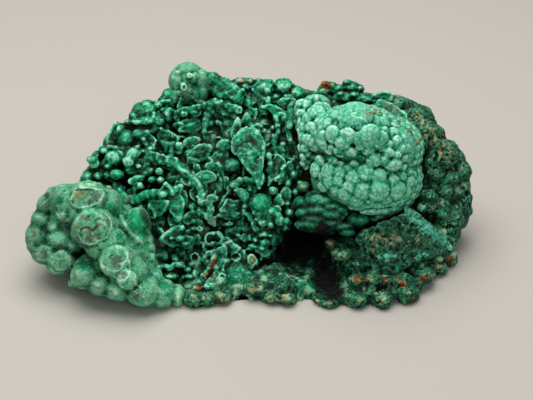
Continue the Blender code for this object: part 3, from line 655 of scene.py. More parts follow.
# %% Build a malachite finish
PATCHES = {
    "emerald": [(0.0, "#02281a"), (0.45, "#0b7a50"), (0.75, "#17a373"), (1.0, "#52d0a3")],
    "cream": [(0.0, "#1c2c20"), (0.4, "#5b7350"), (0.7, "#8f9f72"), (1.0, "#b9c196")],
    "turquoise": [(0.0, "#125244"), (0.5, "#46b093"), (1.0, "#96e4cc")],
    "grey": [(0.0, "#1a3126"), (0.5, "#4a6c58"), (1.0, "#86a58f")],
    "rust": [(0.0, "#1a0c05"), (0.4, "#4e2810"), (0.7, "#843f16"), (1.0, "#b06a30")],
}
GRAIN_MM = 0.7
CLOT_MM = 1.8
BLOTCH_MM = 5.0
BUMP_MM = 0.18
RIM_PALENESS = 0.5
DRIFT_START, DRIFT_END = 0.45, 0.7
LOW_SPECULAR = 0.22
SHEEN_ROUGHNESS = 0.5
SHEEN_TINT = "#b8ecd6"
DEEP_SHADE = "#010604"


def malachite_finish(name, tones, drift_tones, roughness, edge_gain, swell_gain, mottle, grit, middle, drift,
                     sheen=0.0):
    """Return a malachite material whose tone follows its crests and crevices."""
    material = bpy.data.materials.new(name)
    material.use_nodes = True
    tree = material.node_tree
    shader = tree.nodes["Principled BSDF"]
    where = add_node(tree, "ShaderNodeTexCoord").outputs["Object"]
    blotches = noise_in_mm(tree, where, BLOTCH_MM, 4.0, 0.6)
    clots = noise_in_mm(tree, where, CLOT_MM, 4.0, 0.7)
    grains = noise_in_mm(tree, where, GRAIN_MM, 3.0, 0.65)
    # painted highlight and shade: crests push the tone paler and crevices push it darker
    tone = multiply_add(tree, read_attribute(tree, "edge"), edge_gain, middle)
    tone = multiply_add(tree, read_attribute(tree, "swell"), swell_gain, tone)
    for pattern, gain in ((blotches, mottle), (clots, mottle), (grains, grit)):
        tone = multiply_add(tree, maths(tree, "SUBTRACT", pattern, NOISE_LEVEL), gain, tone)
    # painted highlight and wear: the stored rim share lifts the tone paler
    tone = multiply_add(tree, read_attribute(tree, "rim"), RIM_PALENESS, tone)
    colour = tone_ramp(tree, tone, tones)
    duller = add_node(tree, "ShaderNodeMapRange", {
        "Value": blotches, "From Min": DRIFT_START, "From Max": DRIFT_END, "To Max": drift,
    }).outputs[0]
    colour = mixed(tree, duller, colour, tone_ramp(tree, tone, drift_tones))
    for patch, patch_tones in PATCHES.items():
        over = tone_ramp(tree, tone, patch_tones)
        share = ragged(tree, read_attribute(tree, patch), blotches if patch == "emerald" else clots)
        colour = mixed(tree, share, colour, over)
    # painted shade: the stored dark share pulls the colour towards near-black
    colour = mixed(tree, read_attribute(tree, "dark"), colour, linear(DEEP_SHADE))
    tree.links.new(colour, shader.inputs["Base Color"])
    shader.inputs["Roughness"].default_value = roughness
    shader.inputs["Specular IOR Level"].default_value = LOW_SPECULAR
    shader.inputs["Sheen Weight"].default_value = sheen
    shader.inputs["Sheen Roughness"].default_value = SHEEN_ROUGHNESS
    shader.inputs["Sheen Tint"].default_value = linear(SHEEN_TINT)
    bump = add_node(tree, "ShaderNodeBump", {"Strength": 1.0, "Distance": BUMP_MM * MM, "Height": grains})
    tree.links.new(bump.outputs[0], shader.inputs["Normal"])
    return material

# %% The four finishes
VELVET = malachite_finish(
    "velvet_malachite", evenly("#01281a", "#0f6a4a", "#3aa681", "#69c9a4", "#b4f0d4"),
    evenly("#03281b", "#1c6a4d", "#4ca384", "#7cc6a6", "#bdebd2"),
    roughness=0.8, edge_gain=2.0, swell_gain=0.32, mottle=0.35, grit=0.9, middle=0.54, drift=0.4, sheen=0.04)
SILKY = malachite_finish(
    "silky_malachite", evenly("#000b07", "#03301f", "#0d7150", "#27a87a", "#8ee4be"),
    evenly("#010c08", "#0a3022", "#27694f", "#56a283", "#a9dcc4"),
    roughness=0.6, edge_gain=0.9, swell_gain=0.42, mottle=0.5, grit=0.8, middle=0.32, drift=0.6)
STALACTITE = malachite_finish(
    "stalactitic_malachite", evenly("#042c1c", "#1b6544", "#4fa57c", "#7fc79f", "#bceccf"),
    evenly("#092e1f", "#2a6a4d", "#609d80", "#93c3a0", "#c8e4c6"),
    roughness=0.75, edge_gain=1.3, swell_gain=0.2, mottle=0.45, grit=0.8, middle=0.46, drift=0.4, sheen=0.04)
CRUST = malachite_finish(
    "malachite_crust", evenly("#000503", "#052418", "#12553c", "#2f8661", "#83bd9a"),
    evenly("#020705", "#12251b", "#31543e", "#5d8465", "#a0bd97"),
    roughness=0.7, edge_gain=0.8, swell_gain=0.16, mottle=0.9, grit=1.3, middle=0.43, drift=0.6)
print("finishes", [finished.name for finished in (VELVET, SILKY, STALACTITE, CRUST)])

# %% [markdown]
# ## Finished pieces
# The pieces hide parts of each other, so marks and shade can only be laid on when all of them are
# there. Until then each finished piece goes into a list.

# %% Keep a list of pieces
PIECES = []
EDGE_LINES = []
THIN_LINE = 0.4
LEAF_STRENGTH = 0.35
STREAK_STRENGTH = 0.6
RING_STRENGTH = 0.55
RING_TURNS = 12
EDGE_STEPS = 2


def finish(piece, leaves=(), rings=(), streaks=()):
    """Add a piece to the list, with the outlines of its leaves and rings and its streaks."""
    PIECES.append(piece)
    # leaf and ring outlines go on the pale rim layer, partly wear and partly painted highlight
    for w, _, _, outline in leaves:
        closed = curve_through(outline + outline[:1], EDGE_STEPS)
        EDGE_LINES.append((THIN_LINE, LEAF_STRENGTH, w, closed))
    for first_w, last_w, _, _, path in streaks:
        EDGE_LINES.append((THIN_LINE, STREAK_STRENGTH, (first_w + last_w) / 2, path))
    for u, v, w, half_width, half_height, thickness in rings:
        turns = [math.tau * turn / RING_TURNS for turn in range(RING_TURNS + 1)]
        circle = [(u + half_width * math.cos(a), v + half_height * math.sin(a)) for a in turns]
        EDGE_LINES.append((thickness, RING_STRENGTH, w, circle))

# %% [markdown]
# ## Matrix core
# Behind the display forms lies the matrix: broad rounded rock that carries everything and closes
# the back. It is far from the eye or unlit, so it is melted coarsely, at 1.4 mm, and gets a
# stronger relief than the rest. The two caves and the notches under the front rim are cut here.

# %% Melt the matrix core
MATRIX_LUMPS = [
    (115, 61, -30, 87, 42, 22), (186, 60, -24, 33, 36, 20), (120, 11, -2, 58, 12, 18),
    (36, 43, -8, 24, 22, 20), (112, 100, -35, 46, 13, 14), (168, 97, -28, 32, 12, 14),
    (178, 29, -10, 26, 18, 19), (196, 33, -12, 18, 15, 15), (57, 80, -26, 19, 14.5, 15),
    (74, 30, -12, 24, 24, 16), (118, 66, -24, 28, 22, 18), (86, 56, -22, 32, 26, 20),
    (110, 36, -16, 20, 18, 16), (140, 24, -26, 44, 17, 20), (98, 22, -6, 20, 12, 14),
]
BACK_LUMPS = [
    (70, 70, -40, 24, 22, 12), (105, 84, -42, 26, 18, 12), (146, 78, -42, 26, 22, 12),
    (180, 66, -38, 22, 22, 12), (120, 54, -46, 34, 20, 11), (92, 46, -44, 22, 16, 11),
    (40, 54, -18, 18, 14, 14), (160, 46, -42, 24, 16, 11),
]
CAVES = [((17.0, -9.0, 15.5), (14.5, 27.0, 12.0)), ((29.5, -30.0, 9.4), (10.0, 21.0, 8.0))]
NOTCHES = [
    ((-11.5, -46.0, 0.0), (4.5, 12.0, 4.6)), ((20.0, -46.0, 0.0), (2.8, 10.0, 3.4)),
    ((62.0, -40.0, 0.0), (2.6, 10.0, 4.0)),
]
CAVE_CUTTER = cave_cutter(CAVES + NOTCHES)
core = melt(clay_object("matrix_core", MATRIX_LUMPS + BACK_LUMPS), CRUST, 1.4,
            {"Cell mm": 5.0, "Cell height mm": 1.6, "Grain mm": 2.2, "Grain height mm": 1.4, "Seed": 3},
            scatter={"Spacing mm": 5.0, "Smallest mm": 1.4, "Largest mm": 3.2, "Seed": 11},
            cutter=CAVE_CUTTER)
finish(core)

# %% [markdown]
# ## Stalactite lobe
# At the left a bunch of stout stalactites grew side by side and broke off at the front. Each is
# one tapering finger with a nearly flat broken end, and round lumps join them into one ridge. The
# skin is smooth with low cells, so it gets no scattered beads and little relief.

# %% Melt the stalactite lobe
LOBE_STALACTITES = [
    [(33, 53, -6, 12), (31, 56.5, 22, 9.6), (31, 57, 30, 7.8)],
    [(41, 39, -2, 12), (34, 42, 26, 10.8), (32.3, 42.2, 36, 8.8)],
    [(52, 25, -2, 12), (46, 25.4, 27, 9.8), (44.4, 25.4, 37, 8)], [(54, 17, 8, 8), (50.4, 16.4, 40.5, 5)],
    [(24, 26, 8, 7), (17.5, 25.6, 24, 5.4)], [(36, 22, 4, 9), (30, 22.6, 26, 6.2)],
    [(12, 30, 0, 7), (9, 29.4, 20, 4.4)],
]
LOBE_RIDGES = [
    [(45, 51, -2, 8.5), (50, 40, 7, 10.5), (55, 26, 11, 10.5), (59, 14, 13, 9), (62, 8, 15, 6)],
    [(57, 44, 4, 4), (59, 33, 8, 4.4), (61.6, 22, 12, 5.2), (65, 13, 16, 5.4), (68, 7, 18, 4.6)],
    [(10, 34, 10, 5), (13, 40, 10, 5), (16, 47, 10, 5)],
    [(14.6, 50.4, 17, 0.7), (17, 47.2, 22, 0.7), (19.8, 45.2, 24, 0.8), (21.4, 46.8, 26, 0.7)],
    [(45.4, 54, 9, 1.2), (48.4, 46, 16, 1), (52, 40.6, 18, 1.1), (56, 37, 18, 1), (58.4, 34, 19, 0.8)],
    [(46.4, 50, 13, 0.8), (50, 43, 18, 0.9), (54, 38, 19, 0.8)],
    [(59.4, 41, 12, 3), (61.4, 34, 13, 3), (62.6, 26, 15, 3)],
]
LOBE_LUMPS = [
    (28, 54, 5, 17.2, 10.6, 24), (14, 38, 4, 12.5, 15, 13), (31, 50, 20, 11.4, 9.4, 11),
    (40, 34, 25, 11, 9.4, 11), (51, 19, 25, 10.6, 10.4, 13), (58.6, 10.6, 25.4, 9, 8, 11.4),
    (68, 8.6, 20, 6.4, 7, 10), (46, 11.6, 24, 7.4, 6, 12), (37.4, 13.4, 23, 7, 5.6, 12),
    (29, 18, 25, 7, 6.4, 11), (20, 46, 6, 9, 10, 15), (21, 56, 6, 10, 8.2, 19), (42, 53, 6, 6.4, 8.4, 19),
    (19.6, 48.6, 18, 4.6, 4.2, 9), (33.2, 40.2, 24, 11, 9, 10), (42, 24.6, 17, 11, 8.4, 14),
    (20, 36.5, 10, 10, 7.4, 14), (15.4, 42.8, 9, 5.4, 5, 12), (17, 25.4, 13, 7.4, 7, 11),
    (8.6, 29.4, 10, 6, 5.6, 12), (30, 21.4, 14, 7, 8.2, 13), (29.4, 23.6, 18, 4, 4, 10),
    (11, 53, 4, 5.6, 6, 13), (8.5, 46, 6, 6, 5.5, 12), (6, 37.5, 8, 6.3, 7.6, 12),
    (4.4, 33.4, 9, 3.6, 4.6, 11), (56, 44, 6, 6.6, 8.8, 15), (57.6, 37, 7, 4.4, 5, 14),
    (70, 9.2, 18, 4.6, 7.4, 9), (76, 8, 17, 3.8, 6, 8), (13.5, 59.6, 2, 3.6, 3, 12), (36, 30, 10, 9, 9, 14),
    (24.6, 33.4, 16, 4.6, 4, 11), (47, 37, 10, 5, 5, 12), (63.4, 5.6, 17, 4.6, 4, 9),
    (54.6, 12.4, 20, 3.4, 3, 9), (56, 7.4, 20, 4.2, 2.6, 8), (24.6, 14.6, 13, 3.6, 2.4, 8),
    (17.2, 51.4, 22, 1.3, 1.3, 3),
]
LOBE_RINGS = [(55.6, 11.4, 37.4, 2.4, 1.8, 0.4), (17.4, 51.6, 25, 0.9, 0.9, 0.4)]
lobe_clay = clay_object("stalactite_lobe", LOBE_LUMPS, LOBE_RIDGES, broken=LOBE_STALACTITES,
                        rings=LOBE_RINGS)
lobe = melt(lobe_clay, STALACTITE, 0.7,
            {"Cell mm": 4.0, "Cell height mm": 0.4, "Grain mm": 1.3, "Grain height mm": 0.5,
             "Warp mm": 6.0, "Warp height mm": 1.8, "Seed": 5}, smooth=10)
finish(lobe)

# %% [markdown]
# ## Bowl of leaves and fingers
# The hollow between the lobe and the dome is packed with thin leaves, frayed strands and fingers
# that grew out of its floor. Each form is traced, left half and right half apart, so that
# neither mesh grows too large. A leaf is listed as how far it stands out, how much its tip leans
# forward, how its middle swells, and its outline from the tip round. A strand is listed by its
# first and last standing-out and radius, then its path.

# %% Trace the left half
LEFT_LEAVES = [
    (-12, 0, 2.5, [(45, 95.6), (46.3, 92.5), (48.3, 89.5), (50, 84.5), (51, 81.6), (45.5, 81), (41.2, 82.4),
        (40.6, 85.5), (41.6, 89), (43.3, 92.6)]),
    (-6, 0, 2, [(28.6, 68.4), (30.2, 70.9), (35.8, 70.8), (37.4, 67.5), (39.6, 63), (34, 63.4), (27.6, 64.6),
        (27.7, 67.3)]),
    (-2, 0, 1.5, [(37, 70.6), (40.2, 71), (43.4, 68.4), (43, 66), (39.6, 67.2)]),
    (-1, 2, 2, [(50, 75), (55, 76.6), (59, 75.6), (58.6, 71.6), (54.6, 69.6), (51, 70.4)]),
    (-12, 0, -1.6, [(49.2, 88.6), (51, 90.4), (55.4, 90.8), (57.8, 88.4), (57.2, 84.6), (53.2, 82),
        (50.4, 84.4)]),
    (2, 3, 1.8, [(51.2, 65.4), (53, 63.9), (57.4, 65.2), (59.2, 67.8), (55.4, 67.6), (53, 66.8)]),
    (-6, 0, 1.5, [(59, 75.6), (63, 76.2), (65.4, 73.6), (62.2, 71.2), (59.2, 72.2)]),
    (-3, 0, 1.5, [(66, 75.6), (72, 75.2), (76, 72.2), (79, 69.2), (74, 70.8), (67, 73)]),
    (8, 1, 1.5, [(70, 64.4), (72.4, 62.6), (73.2, 60.4), (72, 57.8), (69.6, 59.8), (68.2, 62)]),
    (8, 1, 1.5, [(77.4, 62.8), (75, 62.6), (73, 60.4), (74.4, 58.4), (77, 59.8)]),
    (9, 1, 2.6, [(76, 46.3), (74.4, 48), (72.4, 50), (71.6, 54), (71.4, 59), (76, 59), (78.6, 56), (79, 53),
        (77.4, 50.4), (77.9, 47.6)]),
    (5, 2, 2, [(73.8, 43.1), (72, 44), (71.1, 46.4), (72, 48.6), (74.2, 48), (75.4, 45.4)]),
    (7, 4, 3, [(71.2, 55.1), (69.8, 55.8), (66, 55.5), (62.4, 55.7), (60.6, 53.8), (61, 50), (61.4, 47.2),
        (64, 46.7), (66.4, 48.6), (69.4, 51)]),
    (2, 1, 0.8, [(63.3, 43.9), (64, 46.2), (69, 47), (70.4, 45.3), (66.4, 44.6), (64.6, 43.3)]),
    (9, 3, 3.4, [(66.2, 35.9), (70, 39.5), (75, 42.5), (78.6, 43.3), (79.2, 40.5), (77, 38.8), (83, 37.4),
        (83.2, 33.2), (81.2, 31.8), (76, 33.4), (73, 32.9), (69.4, 34.6)]),
    (5, 1, 1.4, [(75.4, 31), (77, 31.9), (80, 31.1), (82.4, 29.6), (81.6, 27.2), (79, 27), (77, 28.6)]),
    (5, 1, 2, [(86.9, 37.5), (85.6, 34.3), (83.6, 34.8), (83.4, 37), (84.6, 38.6)]),
    (4, 2, 1.4, [(79.6, 39.8), (82.6, 41.2), (86.4, 40.8), (87.2, 38.8), (83.6, 38.2)]),
    (2, 0, 1.5, [(77.2, 61), (79.8, 60.2), (80.4, 54.4), (79.2, 51), (77.6, 53), (76.8, 57)]),
    (-6, 0, -1, [(58.4, 88), (61.4, 88.6), (64.6, 86.4), (63.4, 82.8), (60.4, 83.6), (57.6, 85.6)]),
    (-10, 0, 1, [(66.6, 90.6), (71, 90.2), (75.4, 87.8), (75.2, 85), (70.4, 84.6), (66.4, 86.6)]),
    (-8, 2, -1.6, [(64.2, 83.4), (67.4, 85.4), (70, 84.2), (70.2, 80.8), (66.6, 79.6), (63.8, 81)]),
    (-10, 0, 1.4, [(79, 84.6), (80.6, 86.6), (84.6, 87.3), (87, 86), (84, 83.8), (80, 82.7)]),
    (-13, 3, 1.6, [(76.6, 90.4), (78, 94.8), (81, 96), (86.6, 95.8), (87.4, 92), (85, 90.6), (81, 90.2)]),
    (-8, 0, 1.6, [(78.4, 75.2), (82, 74.6), (81.4, 72.4), (79, 71.8), (77, 73.4)]),
    (-5, 0, 2.2, [(93, 82.6), (90.6, 83.7), (86.4, 83.4), (82, 80), (80.8, 77.6), (84, 75.4), (88.6, 76.2),
        (91.6, 79)]),
    (5, 0, -1, [(82, 60.5), (84.2, 61.2), (87, 58.8), (89, 56.5), (87.6, 54.6), (84, 56.2), (82.2, 58.5)]),
    (5, 1, -1.1, [(78.6, 45.3), (79.4, 48), (82, 49.9), (84.6, 49.2), (86.2, 46.8), (84.2, 45.6),
        (81, 44.2)]),
    (3, 0, 1, [(79.4, 43.4), (82, 45.2), (85, 46), (88, 45.2), (86.6, 43.2), (82.6, 42.2)]),
    (2, 0, 1, [(82.4, 54.6), (85.6, 55), (87.2, 52), (85, 50.4), (82, 51)]),
]
LEFT_STRANDS = [
    (-8, 0, 2.3, 2.5, [(36, 70.5), (34, 74.3)]), (-10, -1, 2.6, 2.8, [(46, 72), (43.3, 77)]),
    (-12, -2, 2.4, 2.5, [(50, 73), (46.6, 77.6)]), (-12, -1, 2.4, 2.4, [(56, 75), (53.6, 79)]),
    (-6, 1, 2.4, 2, [(54.4, 70), (52.6, 73), (51.2, 75.2)]), (-8, -2, 1.6, 1.5, [(42, 71), (39.8, 74.6)]),
    (-6, -5, 1.2, 1.2, [(37.6, 81.6), (42, 82.2), (46, 81.2), (51, 81.2), (56, 82)]),
    (-12, -11, 1.4, 1.7, [(46, 91.8), (52, 93.2), (58, 93.8), (63, 92.4), (67.6, 90.6)]),
    (-6, -5, 0.8, 0.9, [(58.6, 86.6), (59.8, 84.4), (60.9, 82)]),
    (-4, -2, 1.3, 1.4, [(54, 68.2), (58, 69), (62, 70.6)]),
    (-2, 4, 1.5, 1.6, [(44.4, 63.6), (46.4, 60.2), (49.4, 57.2)]),
    (1, 3, 1.5, 1.4, [(52, 60), (53, 58.7), (54.4, 60), (54.6, 62), (56.6, 63)]),
    (4, 10, 1.9, 1.8, [(48, 56.6), (55, 56.2), (60, 58.8), (65, 59.2), (68.6, 59)]),
    (-2, 4, 1.4, 1.4, [(48, 54.2), (53, 53.6), (57.5, 52.8)]),
    (-5, 0, 1.5, 1.2, [(55, 78), (60, 78.8), (64, 78), (67, 76.6), (70, 75.7)]),
    (-4, 1, 1.3, 1.1, [(57, 76.6), (63, 76.2), (68, 75.2), (73, 73.8)]),
    (-2, 1, 0.6, 0.9, [(62, 79.6), (67, 78.6), (71, 77.2), (75, 75.6)]),
    (1, 6, 1.5, 1.4, [(71, 76), (75.6, 73.2), (79, 70), (82, 67.6), (84.6, 65.4), (86.4, 62), (88.2, 58)]),
    (3, 4, 0.6, 0.8, [(75.8, 73.6), (77.4, 71.4), (79.4, 70.4)]),
    (4, 7, 0.7, 0.9, [(76.8, 71.8), (80.4, 69.6), (83, 67.6), (85.6, 65.8), (87, 63)]),
    (2, 3, 0.8, 0.6, [(75, 72.2), (78.6, 69.2), (80, 67.4)]),
    (6, 6, 0.9, 0.7, [(84, 67), (86.6, 64), (88.2, 61), (89, 57.6)]),
    (5, 6, 0.8, 0.6, [(82, 65.6), (84.4, 63.4), (86.4, 61), (87.6, 58.6)]),
    (4, 6, 0.5, 0.6, [(81.4, 64.6), (83.4, 65.4), (85.2, 64.2)]),
    (3, 5, 1, 0.6, [(78.2, 66), (79.6, 64.2), (81.6, 64), (83.2, 64.8)]),
    (2, 4, 0.8, 0.8, [(79, 64.4), (81, 62.4), (82.4, 60.6)]),
    (5, 6, 0.5, 0.6, [(83.6, 61.4), (86, 60), (88.2, 58.4)]),
    (6, 6, 0.5, 0.5, [(83.4, 59.4), (85, 58), (86.6, 56.4)]),
    (6, 6, 0.5, 0.5, [(84.6, 60.2), (86.4, 58.6), (88, 57)]),
    (8, 8, 1.7, 1.6, [(76.8, 51), (76.8, 48), (75.6, 46.8)]),
    (9, 10, 1, 1.2, [(70, 64.2), (71.8, 62), (73.2, 60)]),
    (8, 10, 1.2, 1, [(77, 62.6), (75, 61.6), (73.4, 60)]),
    (11, 12, 1, 1.1, [(65.4, 24.4), (70, 22.9), (72.4, 21.8), (74.4, 24), (79, 22.8)]),
    (9, 10, 0.8, 0.6, [(67, 20.6), (70, 21), (74, 19.4)]),
    (8, 9, 0.6, 0.6, [(72, 76.6), (75, 78), (78.6, 76.4)]),
    (-8, -6, 1.2, 0.9, [(73.4, 84.6), (73, 80.6), (72.6, 77)]),
    (-10, -10, 1.6, 1.4, [(66.6, 84.6), (70, 83.4), (70.4, 80.6)]),
    (-10, -8, 0.8, 0.7, [(69, 88.4), (72, 88.4), (73.6, 87)]),
    (-11, -10, 0.6, 0.6, [(77, 92), (81, 93.4), (86.4, 95.4)]),
    (-11, -10, 0.5, 0.6, [(80, 90.6), (83.4, 92), (87, 94)]),
    (-9, -8, 0.8, 0.7, [(78.6, 86), (81, 88.6), (84, 90)]), (-7, -6, 1.5, 1.6, [(76.6, 80.6), (76.6, 82.8)]),
    (-4, -3, 0.7, 0.8, [(80.6, 76.4), (84, 76.2), (88, 76.8)]),
    (7, 7, 1.6, 1.7, [(87.6, 55), (90.2, 54.8), (92, 52.4), (91.8, 49.8), (90.6, 47.4)]),
    (6, 5, 0.8, 0.7, [(86, 52.6), (87.4, 50), (89, 48)]),
    (5, 5, 0.7, 0.6, [(88.6, 51.6), (89.4, 49), (88.4, 47)]),
    (9, 11, 1, 0.8, [(68, 36), (71.6, 38), (76, 40.6), (78.4, 42.6)]),
    (11, 12, 0.8, 0.7, [(73, 34.6), (77, 36), (80, 34), (82.4, 32.8)]),
    (3, 4, 0.8, 0.7, [(80.6, 52), (82, 49.8), (85, 50.6)]),
    (-4, -2, 1.2, 1.2, [(54, 74), (57.6, 73), (61, 73.8)]), (-4, -3, 1, 1, [(60, 72.6), (64, 71), (68, 70)]),
    (8, 9, 1.2, 0.9, [(62, 53), (64.6, 50), (64.4, 47.6)]),
]
LEFT_LUMPS = [
    (33.2, 76.2, -2, 2.9, 1.9), (45.5, 68.8, 0, 3.5, 2.7), (41.4, 72.8, -4, 2.6, 2.2),
    (39.4, 80.4, -9, 2.6, 2.2), (36, 78, -12, 3, 2.6), (31.6, 67.4, -6, 3.4, 3.2), (36.4, 68, -4, 2.6, 2.4),
    (63.3, 66.1, 0, 2.2, 1.7), (67.2, 65.8, 0, 2.2, 2), (66.8, 70, -4, 2.2, 1.6), (54.4, 97.6, -18, 3, 3),
    (58, 100, -20, 5.4, 5), (62, 100, -19, 5.6, 5.4), (61, 95, -15, 6, 3.4), (55.6, 94.6, -15, 5, 2.6),
    (60.5, 102.6, -20, 4.2, 3.6), (66.4, 95.4, -16, 4, 4.4), (50.4, 85.6, -12, 5, 6), (57, 88.4, -13, 5, 4),
    (47.6, 90, -15, 4, 4.6), (51.6, 95, -14, 2.4, 1.2), (64.4, 97.4, -16, 1.8, 3.6), (66, 103, -20, 3.2, 2.6),
    (70.6, 98.6, -17, 2.4, 3.2), (50.5, 87.5, -16, 3.6, 3.4), (61, 89.6, -14, 4, 2),
    (67.6, 91.4, -13, 0.9, 0.7), (56.3, 82.3, -5, 0.8, 1.2), (73.4, 87.6, -10, 0.9, 0.9),
    (67.5, 28, 5, 4.2, 3.6), (75, 27, 3, 2.4, 3), (66.8, 22.6, 8, 2, 1.9), (72.4, 18, 6, 4, 2),
    (77.4, 36.8, 11, 2.6, 1.4), (80.2, 34.4, 10, 2.6, 1.3), (73, 37, 10, 1.8, 1.4), (84, 41.8, 3, 1.6, 0.9),
    (83, 24.2, 4, 1.9, 1.2), (81, 21.5, 5, 2, 1.1), (81.6, 18, 5, 3.6, 1.6), (79, 17.4, 5, 1.2, 1),
    (86, 57.6, 1, 1.4, 0.8), (88, 50.6, -1, 3, 4), (88.2, 55, 1, 1, 0.8), (83.4, 52.6, -3, 3, 3),
    (52, 79, -6, 3, 2), (58, 80, -8, 3.6, 1.8), (62.4, 81.4, -9, 2.4, 1.6), (54.6, 60.8, -2, 1.6, 1.8),
    (47.4, 60.8, -3, 2.4, 2.6), (84, 79, -10, 5, 3), (82, 93, -18, 4.6, 2.6), (59.4, 86.2, -10, 1.6, 1.4),
    (65, 74, -9, 3, 2), (57, 62.4, -6, 2.2, 2.6), (52.4, 71.6, -6, 3, 3), (41, 68.6, -6, 3, 2.6),
    (78.4, 24.6, 2, 2, 1.6), (80.8, 29, -2, 2.6, 2),
]
LEFT_RINGS = [
    (34, 74.1, 1, 2, 1.8, 0.55), (43.4, 77, 0.5, 2.4, 2.5, 0.6), (46.4, 77.7, -1, 2.1, 2.5, 0.6),
    (53.6, 79.2, 0, 2.7, 1.3, 0.6), (51.2, 75.2, 1.5, 1.8, 1.6, 0.6), (84.4, 27.4, 5, 1.9, 2.1, 0.5),
    (86.8, 41.6, 6, 1, 1.1, 0.45), (84.7, 19.8, 8, 0.8, 0.8, 0.4), (68.6, 58.8, 11.5, 1.2, 1.1, 0.5),
    (56.4, 72.8, 1, 0.9, 0.8, 0.5),
]
print("left bowl", len(LEFT_LEAVES), "leaves", len(LEFT_STRANDS), "strands")

# %% Trace the right half
RIGHT_LEAVES = [
    (4, 0, 1, [(94.4, 43.3), (92.6, 44), (91.3, 45.3), (92.7, 46.6), (95, 47.4), (94.6, 45.8)]),
    (2, 0, 1, [(90, 56.3), (92.5, 58.4), (95, 57.5), (95.2, 55.9), (92.5, 55.2)]),
    (5, 2, 1.6, [(96.8, 50.5), (99.4, 54.4), (101, 56.4), (104, 55.2), (107.8, 55.8), (109.8, 53),
        (109, 50.6), (106, 51.6), (102, 50.8), (99, 50.2)]),
    (3, 0, 1.2, [(96, 48.4), (100, 49.8), (105.4, 49.6), (108, 48.6), (105, 47), (100, 46.8)]),
    (6, 0, 1, [(110, 49.5), (112.5, 48.9), (115.6, 47.9), (115.8, 46.2), (112.8, 45.5), (111.5, 47)]),
    (9, 0, 1.6, [(127.1, 50.6), (126.4, 52.6), (123.5, 52.7), (124.6, 50), (126.2, 48.4)]),
    (7, 0, 1.2, [(113, 43.6), (114, 45), (116.2, 44.7), (115.6, 42.4), (114.8, 40.8)]),
    (6, 1, 1.2, [(115, 30.4), (117.5, 28.8), (119.5, 28.1), (121.5, 29.2), (121, 30.6), (117.5, 31.2)]),
    (9, 0, 1, [(98.6, 33.5), (102.5, 35.8), (103.6, 34.4), (107.1, 31.8), (105, 30.7), (102, 30.2),
        (100.2, 29.6)]),
    (11, 0, -0.8, [(90.6, 30.5), (93, 30.2), (96.5, 32), (99.6, 32.8), (100.2, 31), (99.9, 26.5),
        (98.2, 21.9), (96.2, 21.4), (95, 23.5), (93.4, 27), (92.2, 28.3), (90.4, 28)]),
    (11, 0, 1.2, [(112.4, 21.3), (112, 24), (111.1, 26), (112, 28.3), (114, 27.9), (115.4, 25.5),
        (114, 23.9)]),
    (10, 0, -0.6, [(118.2, 20.6), (115, 20), (110.2, 19.7), (111.8, 17.5), (115, 17.4), (117.8, 19.4)]),
    (4, 0, 1, [(87, 26), (90, 27.4), (92.2, 24), (90.2, 20), (87.6, 17), (86, 20)]),
    (-9, 1, 1.3, [(106, 97.1), (107, 94), (106.6, 91), (105.4, 89.4), (103, 88.3), (102.2, 86.4), (103, 90),
        (104, 93.6), (105, 96.4)]),
    (-9, 1, 2, [(110.3, 99.7), (111.5, 98), (112.4, 94.8), (111, 93), (108.4, 95), (109.2, 98)]),
    (1.5, -4.5, 2.6, [(110, 92.2), (107, 90.8), (105, 88.4), (103.2, 86.4), (103, 83.6), (103.2, 80.2),
        (106.2, 78), (108, 75), (111, 71), (113.8, 67.4), (116.2, 62), (118.2, 64.6), (118.4, 68),
        (118.2, 72), (118.9, 78), (119.2, 84), (117.8, 88), (115.4, 91)]),
    (-4, 0, 2, [(95.2, 82.5), (97, 84.8), (100, 85.8), (103, 84.4), (103, 82.8), (99, 81.6)]),
    (-5, 0, 1, [(91.8, 76.8), (94.5, 79.5), (97, 81.4), (99.3, 80.4), (101.1, 80.4), (100.3, 76.5),
        (97.5, 75.4), (94, 75.6)]),
    (-3, 0, 1.3, [(90, 73), (92, 74.5), (97, 74.2), (95.6, 71.7), (93, 70.6), (91, 72)]),
    (-3, -2, -0.9, [(126, 78.8), (128.5, 76.5), (129.4, 74.3), (128, 71.5), (126, 70), (124.5, 67.5),
        (122.5, 65), (121.1, 63.3), (121.2, 66.5), (122.8, 70.5), (123.4, 75), (124.4, 77.7)]),
    (0, 0, 1, [(127.8, 57), (128.2, 60.6), (130, 62.2), (132, 60.5), (131.6, 56.5), (129.6, 55.4)]),
    (5, 0, 1.3, [(124.3, 56), (127, 58.6), (127.5, 56), (128.6, 54.3), (126, 53.1), (124.5, 54.4)]),
    (1, 2, 2, [(95.2, 66.8), (93, 69.6), (88, 70), (84.6, 68), (86, 65.4), (91, 64.9)]),
    (2, 0, 1, [(110.2, 61), (111.4, 63), (114.4, 62.2), (114.2, 59.6), (112, 58.8)]),
    (-12, 0, 1.5, [(130.2, 79), (131.4, 84.6), (134.6, 84.6), (135.6, 79), (133, 75.8)]),
]
